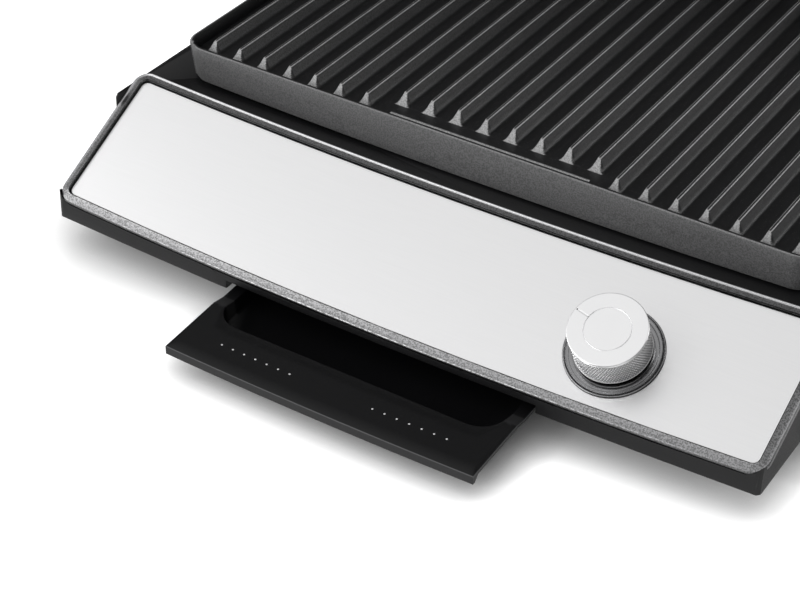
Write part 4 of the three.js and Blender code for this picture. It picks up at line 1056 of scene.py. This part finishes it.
class GRILL_OT_knob(bpy.types.Operator):
    """Build the knob's knurled sleeve and its cap, and the ring round it"""

    bl_idname = "grill.knob"
    bl_label = "Knob"

    # Samples to a knurl, along and across, and steps round the cap, the dot and the ring
    KNURL_SAMPLES = 6
    CAP_STEPS = 420
    # Radii across the cap's face from the rim to the groove, over the groove, and on to the middle
    CAP_RINGS = (22, 13, 8)
    DOT_STEPS = 16
    BEZEL_STEPS = 192
    CORE = 1.5 * MM
    BORE_GAP = 0.3 * MM
    # Plain bands below and above the knurl, and how far the knurl's crests lie inside the sleeve's radius
    PLAIN_BAND = 0.5 * MM
    KNURL_INSET = 0.2 * MM
    # Painted shade on the loops round the sleeve's lower edge
    EDGE_SHADE = 0.5
    # How fast the painted shade in a groove darkens past half its depth, and how dark it gets
    GROOVE_GAIN = 2.2
    GROOVE_SHADE = 0.9
    # How much of the angles' spacing is drawn towards the pointer
    PACKING = 0.75
    CAP_ROUND = 0.3 * MM
    CAP_BEVEL = 0.35 * MM
    CAP_MIDDLE = 0.4 * MM
    POINTER_FADE = 1.2 * MM
    DOT_INSET = 0.85 * MM
    # Shares of the dot's radius and their heights in millimetres
    DOT_DOME = ((1.0, -0.2), (1.0, 0.0), (0.8, 0.03), (0.4, 0.05))
    # The ring's dish: distance outside the dish's radius and height in millimetres, and painted shade
    DISH = ((1.4, 0.36, 0), (1.15, 0.4, 0.3), (0.95, 0.62, 0), (0.4, 0.72, 0), (-0.1, 0.68, 0),
            (-0.6, 0.7, 0.2), (-0.8, 0.95, 0), (-1.5, 1.05, 0.1), (-2.1, 0.9, 0.7), (-2.6, 0.4, 1),
            (-3.4, -0.3, 1))
    # Painted shade on the lip's rounded edge, standing for the gap to the panel
    LIP_SHADES = (0.7, 0.3, 0, 0, 0, 0)

    def triangle(self, phase):
        """A wave that falls from 1 to 0 and rises back once a turn."""
        return np.abs(((phase / (2 * math.pi)) % 1) * 2 - 1)

    def sleeve(self, sizes):
        """Loops of a turned sleeve, and how much painted shade each gets. Its side is knurled: the radius
        falls where the lower of two crossing triangle waves, one leaning each way, falls."""
        r, lift = sizes.radius, sizes.lift
        top = sizes.top - sizes.cap - sizes.cap_gap
        turn = whole_turn(sizes.knurl_count * self.KNURL_SAMPLES)
        low, high = lift + self.PLAIN_BAND, top - self.PLAIN_BAND
        pitch = 2 * math.pi * r / sizes.knurl_count
        z = np.linspace(low, high, int((high - low) / (pitch * sizes.knurl_stretch) * self.KNURL_SAMPLES))
        lean = 2 * math.pi * z[:, None] / (pitch * sizes.knurl_stretch)
        round_phase = turn[None, :] * sizes.knurl_count
        groove = 1 - np.minimum(self.triangle(round_phase + lean), self.triangle(round_phase - lean))
        radius = r - self.KNURL_INSET - sizes.knurl_depth * groove
        # Radius and level of the plain loops, from the bore under the sleeve and up to the knurl
        below = [(sizes.shaft + self.BORE_GAP, lift + 0.6 * MM), (r - 2.6 * MM, lift + 0.6 * MM),
                 (r - 2.4 * MM, lift), (r - 0.45 * MM, lift), (r - 0.2 * MM, lift + 0.25 * MM),
                 (r - 0.2 * MM, low - 0.05 * MM)]
        above = [(r - 0.25 * MM, high + 0.02 * MM), (r - 0.25 * MM, top - 0.1 * MM), (r - 0.4 * MM, top),
                 (self.CORE, top)]
        loops = [circle(turn, *point) for point in [*below, *zip(radius, z), *above]]
        plain = len(below)
        painted_light_and_wear = np.zeros((len(loops), len(turn)))
        # Painted shade round the lower edge and in the deeper half of each groove
        painted_light_and_wear[plain - 3:plain] = self.EDGE_SHADE
        painted_light_and_wear[plain:plain + len(z)] = np.clip(self.GROOVE_GAIN * (groove - 0.5), 0, self.GROOVE_SHADE)
        return loops, painted_light_and_wear.ravel()

    def cap(self, sizes):
        """Loops of the cap. Its face is a polar grid, lowered by a ring-shaped groove with a profile of
        1 - (d / w)^2, and by a straight notch with a profile of 1 - d / w from it to the rim, d being the
        distance from its middle line and w half its width."""
        around = sizes.pointer_angle + math.pi / 2
        even = np.linspace(-math.pi, math.pi, self.CAP_STEPS, endpoint=False)
        turn = around + even - self.PACKING * np.sin(even)
        edge = self.CAP_ROUND
        base = sizes.top - sizes.cap
        profile = [(self.CORE, base), (sizes.radius - self.CAP_BEVEL, base),
                   (sizes.radius, base + self.CAP_BEVEL)]
        profile += round_corner((sizes.radius - edge, sizes.top - edge), edge, 0, 90, 6)
        loops = [circle(turn, *point) for point in profile]
        stops = (sizes.radius - edge, sizes.ring + sizes.groove, sizes.ring - sizes.groove, self.CAP_MIDDLE)
        spans = zip(stops, stops[1:], self.CAP_RINGS)
        inward = [np.linspace(start, end, steps)[1:] for start, end, steps in spans]
        for r in np.concatenate(inward):
            x, y = r * np.cos(turn), r * np.sin(turn)
            along = x * math.cos(around) + y * math.sin(around)
            across = -x * math.sin(around) + y * math.cos(around)
            groove = max(0.0, 1 - ((r - sizes.ring) / (sizes.groove / 2)) ** 2) * sizes.groove_depth
            reach = (along > sizes.ring) * np.clip((sizes.radius - edge - along) / self.POINTER_FADE, 0, 1)
            side = np.clip(np.abs(across / (sizes.pointer / 2)), 0, 1)
            notch = (1 - side) * sizes.pointer_depth * reach
            loops.append(np.column_stack([x, y, sizes.top - np.maximum(groove, notch)]))
        return loops

    def dot(self, sizes):
        """Loops of a low dome on the cap at the pointer's outer end."""
        around = sizes.pointer_angle + math.pi / 2
        out = sizes.radius - self.DOT_INSET
        centre = out * math.cos(around), out * math.sin(around)
        return [circle(whole_turn(self.DOT_STEPS), sizes.dot * share, sizes.top + height * MM, centre)
                for share, height in self.DOT_DOME]

    def bezel(self, sizes):
        """Section of a turned ring, as radius, height and painted shade: a raised lip with painted shade at
        the gap round it, a broad shallow dish with one low step, and painted shade in the channel under the
        knob's edge."""
        r, lip, dish = sizes.bezel_radius, sizes.bezel_lip, sizes.bezel_dish
        cup = r - sizes.bezel_flange
        inner = sizes.shaft + self.BORE_GAP
        section = [(inner, -1.2 * MM, 1), (cup - 0.2 * MM, -1.2 * MM, 1), (cup - 0.2 * MM, 0.02 * MM, 1),
                   (r, 0.02 * MM, 1), (r, 0.2 * MM, 1), (r - 0.02 * MM, 0.4 * MM, 0.9)]
        arc = round_corner((r - 0.5 * MM, lip - 0.4 * MM), 0.4 * MM, 10, 120, len(self.LIP_SHADES))
        section += [(*point, dark) for point, dark in zip(arc, self.LIP_SHADES)]
        section += [(cup + 0.1 * MM, lip - 0.3 * MM, 0), (cup - 0.15 * MM, 0.42 * MM, 0.2),
                    (cup - 0.6 * MM, 0.32 * MM, 0)]
        section += [(dish + out * MM, height * MM, dark) for out, height, dark in self.DISH]
        return section + [(inner, self.DISH[-1][1] * MM, 1)]

    def execute(self, context):
        sizes = context.scene.grill_knob
        place = knob_frame()
        loops, painted_light_and_wear = self.sleeve(sizes)
        points, quads, caps = skin(loops)
        store_painted_light_and_wear(make_piece("knurled_sleeve", points, quads, "knob", materials()["sleeve"],
                        ["knob_sleeve"], place, caps, smooth_angle=25.0), painted_light_and_wear)
        points, quads, caps = skin(self.cap(sizes))
        make_piece("knob_face", points, quads, "knob", materials()["knob"], ["knob_cap"], place,
                   caps, smooth_angle=40.0)
        points, quads, caps = skin(self.dot(sizes))
        make_piece("pointer_dot", points, quads, "knob", materials()["mark"], (), place, caps)
        radii, heights, dark = zip(*self.bezel(sizes))
        turn = whole_turn(self.BEZEL_STEPS)
        points, quads = ring_skin([circle(turn, *point) for point in zip(radii, heights)])
        ring = make_piece("bezel_ring", points, quads, "base", materials()["bezel"],
                          ["knob_bezel"], place, smooth_angle=30.0)
        # Painted shade at the outer gap, at the dish's steps and in the channel under the knob
        store_painted_light_and_wear(ring, np.repeat(dark, self.BEZEL_STEPS))
        return {"FINISHED"}


class GRILL_OT_drip_tray(bpy.types.Operator):
    """Build the drip tray and the dots on its front plate"""

    bl_idname = "grill.drip_tray"
    bl_label = "Drip tray"

    # Steps along the front, across a corner's end and up a corner's side
    FRONT_STEPS = 29
    END_STEPS = 7
    SIDE_STEPS = 9
    # Half the length of a bend at the ramp, the first place behind the lip, and a gap too small to see
    BEND = 0.2 * MM
    BEHIND_LIP = 4 * MM
    HAIR = 0.01 * MM
    # How far back the front edge's bow reaches, as a share of the distance to the basin
    BOW_SHARE = 0.8
    # Insets of the basin's lowest loops and their heights above its floor, in millimetres
    BASIN_ROUND = ((0.3, 1.5), (0.7, 0.5), (1.6, 0.0))
    PAN_ROUND = 0.8 * MM
    # How far below the face the edge's side starts, in radii, and where loops cross the flat deck
    EDGE_FOOT = 1.7
    DECK_SHARES = (0.25, 0.5, 0.75)
    # Which loops lie on the lip and on the edge, and how much painted highlight they and the ramps get
    LIP_LOOPS, LIP_WEAR = slice(6, 8), 0.07
    EDGE_LOOPS, EDGE_PAINTED_HIGHLIGHT = slice(8, 10), 0.32
    RAMP_PAINTED_HIGHLIGHT = 0.06
    # Places of the dots to either side of the middle, steps round a dot, and shares of its radius
    DOT_PLACES = range(3, 10)
    DOT_STEPS = 12
    DOT_RINGS = (1.0, 0.85, 0.5)

    def posts(self, sizes):
        """The centres of the basin's corner arcs: half their distance apart, and their front and back y."""
        r = sizes.basin_corner
        return sizes.width / 2 - sizes.flange - r, sizes.basin_front + r, sizes.depth - sizes.flange / 2 - r

    def rectangle(self, sizes):
        """Points once round the tray seen from above, before its front is bowed. Those beside a corner of
        the basin fan out evenly from the centre of its arc."""

        def row(x, y):
            """Points from x and y, either of which may be one number."""
            return np.column_stack(np.broadcast_arrays(x, y))

        half = sizes.width / 2
        cx, front_y, back_y = self.posts(sizes)
        run = np.linspace(-cx, cx, self.FRONT_STEPS)[1:-1]
        ends = np.linspace(cx, half, self.END_STEPS)
        fan = np.linspace(0, math.atan2(front_y - self.BEHIND_LIP, half - cx), self.SIDE_STEPS)
        bends = [sizes.plate - self.BEND, sizes.plate + self.BEND]
        side = np.concatenate([
            [sizes.sheet, sizes.sheet + 2 * self.HAIR], front_y - (half - cx) * np.tan(fan), bends,
            np.array(bends) + sizes.ramp, np.linspace(front_y, back_y, self.SIDE_STEPS),
        ])
        back_fan = np.linspace(0, 1, self.SIDE_STEPS)[1:] * math.atan2(sizes.depth - back_y, half - cx)
        right = np.concatenate([
            row(ends, 0.0),
            row(half, np.unique(np.round(side, 7))),
            row(half, back_y + (half - cx) * np.tan(back_fan)),
            row(np.linspace(half, cx, self.END_STEPS)[1:], sizes.depth),
        ])
        left = right[::-1] * np.array([-1, 1])
        return np.concatenate([row(run, 0.0), right, row(run[::-1], sizes.depth), left])

    def outer(self, sizes, inset=0.0):
        """The tray's outline, inset. Its front edge sags on a circle, less and less towards the basin."""
        half = sizes.width / 2
        x, y = self.rectangle(sizes).T
        flat = np.column_stack([np.clip(x, inset - half, half - inset),
                                np.clip(y, inset, sizes.depth - inset)])
        share = np.clip(1 - flat[:, 1] / (sizes.basin_front * self.BOW_SHARE), 0, 1)
        flat[:, 1] += sag(flat[:, 0], sizes.bow) * share
        return flat

    def basin(self, sizes, inset=0.0):
        """The basin's outline, inset. Each outer point has a partner here: straight in along the edges, and
        on a corner's arc where the line from the arc's centre to the outer point crosses it."""
        x, y = self.rectangle(sizes).T
        cx, front_y, back_y = self.posts(sizes)
        ox, oy = np.clip(x, -cx, cx), np.clip(y, front_y, back_y)
        reach = (sizes.basin_corner - inset) / np.hypot(x - ox, y - oy)
        return np.column_stack([ox + (x - ox) * reach, oy + (y - oy) * reach])

    def deck(self, sizes, y):
        """Height of the tray's upper face: level on the front plate, down a ramp, level behind."""
        return -sizes.drop * np.clip((y - sizes.plate) / sizes.ramp, 0, 1)

    def loops(self, sizes):
        """Loops from the pan's underside, out to the lip, over its edge and across the top to the basin's
        floor. Each level is the deck's height there less a thickness."""
        e, wall, lip = sizes.edge, sizes.wall, sizes.lip
        bottom = -sizes.drop - sizes.basin_depth

        def at(flat, z):
            """Points at a level."""
            return np.column_stack([flat, np.broadcast_to(z, len(flat))])

        def under(flat):
            """Level of the lower face: a sheet's thickness down on the front plate, a wall's behind."""
            return self.deck(sizes, flat[:, 1]) - np.where(flat[:, 1] < sizes.plate, sizes.sheet, wall)

        def over(flat, drop=0.0):
            """Points on the upper face, lowered by the drop."""
            return at(flat, self.deck(sizes, flat[:, 1]) - drop)

        edge = self.outer(sizes)
        from_front = edge[:, 1] - sag(edge[:, 0], sizes.bow)
        front = from_front < sizes.sheet + self.HAIR
        inner = edge.copy()
        inner[:, 1] += np.where(front, np.maximum(sizes.sheet - from_front, 0), 0)
        inner[:, 0] = np.clip(inner[:, 0], self.HAIR - sizes.width / 2, sizes.width / 2 - self.HAIR)
        top = self.outer(sizes, e)
        pan = self.basin(sizes, -wall)
        brim = self.basin(sizes)
        blend = pan * 0.25 + inner * 0.75
        loops = [at(self.basin(sizes, wall * 0.5), bottom),
                 at(self.basin(sizes, -wall * 0.5), bottom + self.PAN_ROUND),
                 at(pan, under(pan)), at(blend, under(blend)), at(inner, under(inner)),
                 at(inner, np.where(front, -lip, under(inner))), at(edge, np.where(front, -lip, under(edge))),
                 over(edge, e * self.EDGE_FOOT), over(edge, e),
                 over(self.outer(sizes, e * HALF_ROUND), e * HALF_ROUND), over(top)]
        loops += [over(top * (1 - share) + brim * share) for share in self.DECK_SHARES]
        loops += [over(self.basin(sizes, -e)), over(self.basin(sizes, -e * HALF_ROUND), e * HALF_ROUND),
                  over(brim, e)]
        return loops + [at(self.basin(sizes, inset * MM), bottom + wall + height * MM)
                        for inset, height in self.BASIN_ROUND]

    def dots(self, sizes):
        """Low domes whose height falls from the middle as sqrt(1 - 0.9 r^2)."""
        turn = whole_turn(self.DOT_STEPS)
        # Share of the dot's radius and height of each of its loops
        dome = [(1.0, -0.1 * MM)]
        dome += [(ring, sizes.dot_rise * math.sqrt(1 - ring ** 2 * 0.9)) for ring in self.DOT_RINGS]
        points, quads, caps = [], [], []
        for x in [side * (step + 0.5) * sizes.dot_pitch for side in (-1, 1) for step in self.DOT_PLACES]:
            centre = x, sizes.dot_place + sag(x, sizes.bow)
            p, q, c = skin([circle(turn, sizes.dot * ring, level, centre) for ring, level in dome])
            start = len(points) * len(p)
            points.append(p)
            quads.append(q + start)
            caps += [cap + start for cap in c]
        return np.concatenate(points), np.concatenate(quads), caps

    def execute(self, context):
        sizes = context.scene.grill_tray
        place = tray_frame()
        loops = self.loops(sizes)
        points, quads, caps = skin(loops)
        body = make_piece("tray_body", points, quads, "tray", materials()["tray"],
                          ["drip_tray"], place, caps, smooth_angle=30.0)
        # Painted highlights on the lip, along the edge and on the ramps
        painted_light_and_wear = np.zeros((len(loops), len(loops[0])))
        painted_light_and_wear[self.LIP_LOOPS] = self.LIP_WEAR
        painted_light_and_wear[self.EDGE_LOOPS] = self.EDGE_PAINTED_HIGHLIGHT
        down = points[:, 1] - sizes.plate
        on_ramp = (down > self.BEND / 2) & (down < sizes.ramp - self.BEND / 2)
        store_painted_light_and_wear(body, np.maximum(painted_light_and_wear.ravel(), self.RAMP_PAINTED_HIGHLIGHT * on_ramp))
        joined(body)
        points, quads, caps = self.dots(sizes)
        make_piece("tray_dots", points, quads, "tray", materials()["dots"], (), place, caps)
        return {"FINISHED"}


class GRILL_OT_stage(bpy.types.Operator):
    """Set the floor, the lamps, the world and the camera"""

    bl_idname = "grill.stage"
    bl_label = "Studio"

    CAMERA_BEARING = math.radians(31.07)
    CAMERA_DROP = math.radians(35.99)
    CAMERA_LEAN = math.radians(1.834)
    CAMERA_FROM_PANEL = Vector((0.36163, -0.58416, 0.513075))
    CAMERA_LENS = 92.25
    CAMERA_SENSOR = 36
    CAMERA_NEAR = 0.01
    FLOOR_HALF = 4.0
    # The floor's glow, and the distances over which it grows to full white
    FLOOR_GLOW = 0.96
    FLOOR_FADE = (0.5, 1.6)
    # How far the shadow painted into the floor's glow reaches at the left and at the right, and between which
    # places it changes
    SHADOW_REACHES = (0.041, 0.021)
    SHADOW_PLACES = (-0.16, -0.07)
    SHADOW_POWER = 4.2
    SHADOW_SAMPLES = 8
    # The sky's brightest direction, the cosines between which it grows, and its strengths there
    SKY_DIRECTION = Vector((-0.35, -0.45, 0.82)).normalized()
    SKY_COSINES = (0.40, 0.93)
    SKY_STRENGTHS = (0.05, 0.95)
    # Name, direction from the panel, distance, size and radiance of each soft box
    LAMPS = (
        ("key_box", (-0.80, -0.40, 0.45), 1.7, 1.2, 1.6),
        ("front_left_box", (-0.45, -0.85, 0.40), 1.6, 0.7, 4.5),
        ("front_right_box", (0.50, -0.80, 0.45), 1.7, 1.0, 0.7),
        ("back_right_box", (0.72, 0.62, 0.28), 1.6, 0.8, 4.5),
    )

    def camera(self):
        """A camera turned to its bearing, tipped down, and leaned about its own line of sight."""
        az, el, lean = self.CAMERA_BEARING, self.CAMERA_DROP, self.CAMERA_LEAN
        forward = Vector((-math.sin(az) * math.cos(el), math.cos(az) * math.cos(el), -math.sin(el)))
        level = Vector((math.cos(az), math.sin(az), 0))
        right = level * math.cos(lean) + level.cross(forward) * math.sin(lean)
        data = bpy.data.cameras.new("camera")
        data.lens = self.CAMERA_LENS
        data.sensor_width = self.CAMERA_SENSOR
        data.clip_start = self.CAMERA_NEAR
        camera = new_object("camera", data)
        place = panel_frame().translation + self.CAMERA_FROM_PANEL
        camera.matrix_world = basis(right, right.cross(forward), -forward, place)
        bpy.context.scene.camera = camera

    def floor(self, colours):
        """A wide floor that glows for the camera alone. The glow is the share of open sky within a reach,
        raised to a power, which paints a shadow round the object, and it grows to full white away from the
        object."""
        half = self.FLOOR_HALF
        mesh = bpy.data.meshes.new("floor")
        corners = [(-half, -half, 0), (half, -half, 0), (half, half, 0), (-half, half, 0)]
        mesh.from_pydata(corners, [], [(0, 1, 2, 3)])
        finish = Finish("floor", colours.floor, roughness=0.9, specular=0.1)
        across = finish.add("SeparateXYZ", {0: finish.place}).outputs["X"]
        reach = finish.ranged(across, *self.SHADOW_PLACES, *self.SHADOW_REACHES)
        sky = finish.add("AmbientOcclusion", {"Distance": reach}, samples=self.SHADOW_SAMPLES).outputs["AO"]
        away = finish.add("VectorMath", {0: finish.place}, operation="LENGTH").outputs["Value"]
        fade = finish.ranged(away, *self.FLOOR_FADE, self.FLOOR_GLOW, 1.0)
        strength = finish.maths("MULTIPLY", finish.maths("POWER", sky, self.SHADOW_POWER), fade)
        glow = finish.seen_only(finish.add("Emission", {"Strength": 0.0}),
                                finish.add("Emission", {"Strength": strength}))
        both = finish.add("AddShader", {0: finish.shader.outputs[0], 1: glow.outputs[0]})
        finish.feed(finish.tree.nodes["Material Output"].inputs["Surface"], both.outputs[0])
        mesh.materials.append(finish.material)
        new_object("floor", mesh)

    def lamp(self, name, direction, distance, size, radiance):
        """A square soft box that faces the panel. Its power is pi times its area times its radiance."""
        data = bpy.data.lights.new(name, "AREA")
        data.shape = "SQUARE"
        data.size = size
        data.energy = math.pi * size * size * radiance
        way = Vector(direction).normalized()
        lamp = new_object(name, data)
        lamp.location = panel_frame().translation + way * distance
        lamp.rotation_mode = "QUATERNION"
        lamp.rotation_quaternion = way.to_track_quat("Z", "Y")

    def world(self):
        """Light that is brightest above and to the front left, and falls off evenly from there. The camera
        sees white."""
        world = bpy.data.worlds.new("studio")
        bpy.context.scene.world = world
        world.use_nodes = True
        graph = Graph(world.node_tree)
        sight = graph.add("TexCoord").outputs["Generated"]
        towards = graph.add("VectorMath", {0: sight, 1: self.SKY_DIRECTION},
                            operation="DOT_PRODUCT").outputs["Value"]
        strength = graph.ranged(towards, *self.SKY_COSINES, *self.SKY_STRENGTHS)
        sky = graph.add("Background", {"Color": WHITE, "Strength": strength})
        both = graph.seen_only(sky, graph.add("Background", {"Color": WHITE}))
        graph.feed(graph.tree.nodes["World Output"].inputs["Surface"], both.outputs[0])

    def execute(self, context):
        self.camera()
        self.floor(context.scene.grill_colours)
        self.world()
        for lamp in self.LAMPS:
            self.lamp(*lamp)
        context.scene.view_settings.view_transform = "Standard"
        return {"FINISHED"}


class GRILL_PT_panel(bpy.types.Panel):
    """Lists the grill's steps, sizes and colours"""

    bl_idname = "GRILL_PT_panel"
    bl_label = "Contact Grill"
    bl_space_type = "VIEW_3D"
    bl_region_type = "UI"
    bl_category = "Grill"

    def draw(self, context):
        for step in STEPS:
            self.layout.operator(step.bl_idname)
        for name in GROUPS:
            group = getattr(context.scene, name)
            box = self.layout.box()
            for prop in group.bl_rna.properties:
                if prop.identifier not in ("rna_type", "name"):
                    box.prop(group, prop.identifier)


GROUPS = {
    "grill_plate": GrillPlateSizes,
    "grill_panel": GrillPanelSizes,
    "grill_knob": GrillKnobSizes,
    "grill_tray": GrillTraySizes,
    "grill_colours": GrillColours,
}
STEPS = [
    GRILL_OT_frame_finishes,
    GRILL_OT_mouldings,
    GRILL_OT_cooking_plates,
    GRILL_OT_panel_trim,
    GRILL_OT_knob,
    GRILL_OT_drip_tray,
    GRILL_OT_stage,
]
CLASSES = [*GROUPS.values(), *STEPS, GRILL_PT_panel]


def register():
    """Adds the classes, and each group of sizes to the scene."""
    for cls in CLASSES:
        bpy.utils.register_class(cls)
    for name, group in GROUPS.items():
        setattr(bpy.types.Scene, name, PointerProperty(type=group))


def unregister():
    """Takes away what register added."""
    for name in GROUPS:
        delattr(bpy.types.Scene, name)
    for cls in reversed(CLASSES):
        bpy.utils.unregister_class(cls)


def main():
    """Runs every step in order."""
    register()
    for step in STEPS:
        group, name = step.bl_idname.split(".")
        getattr(getattr(bpy.ops, group), name)()


if __name__ == "__main__":
    main()
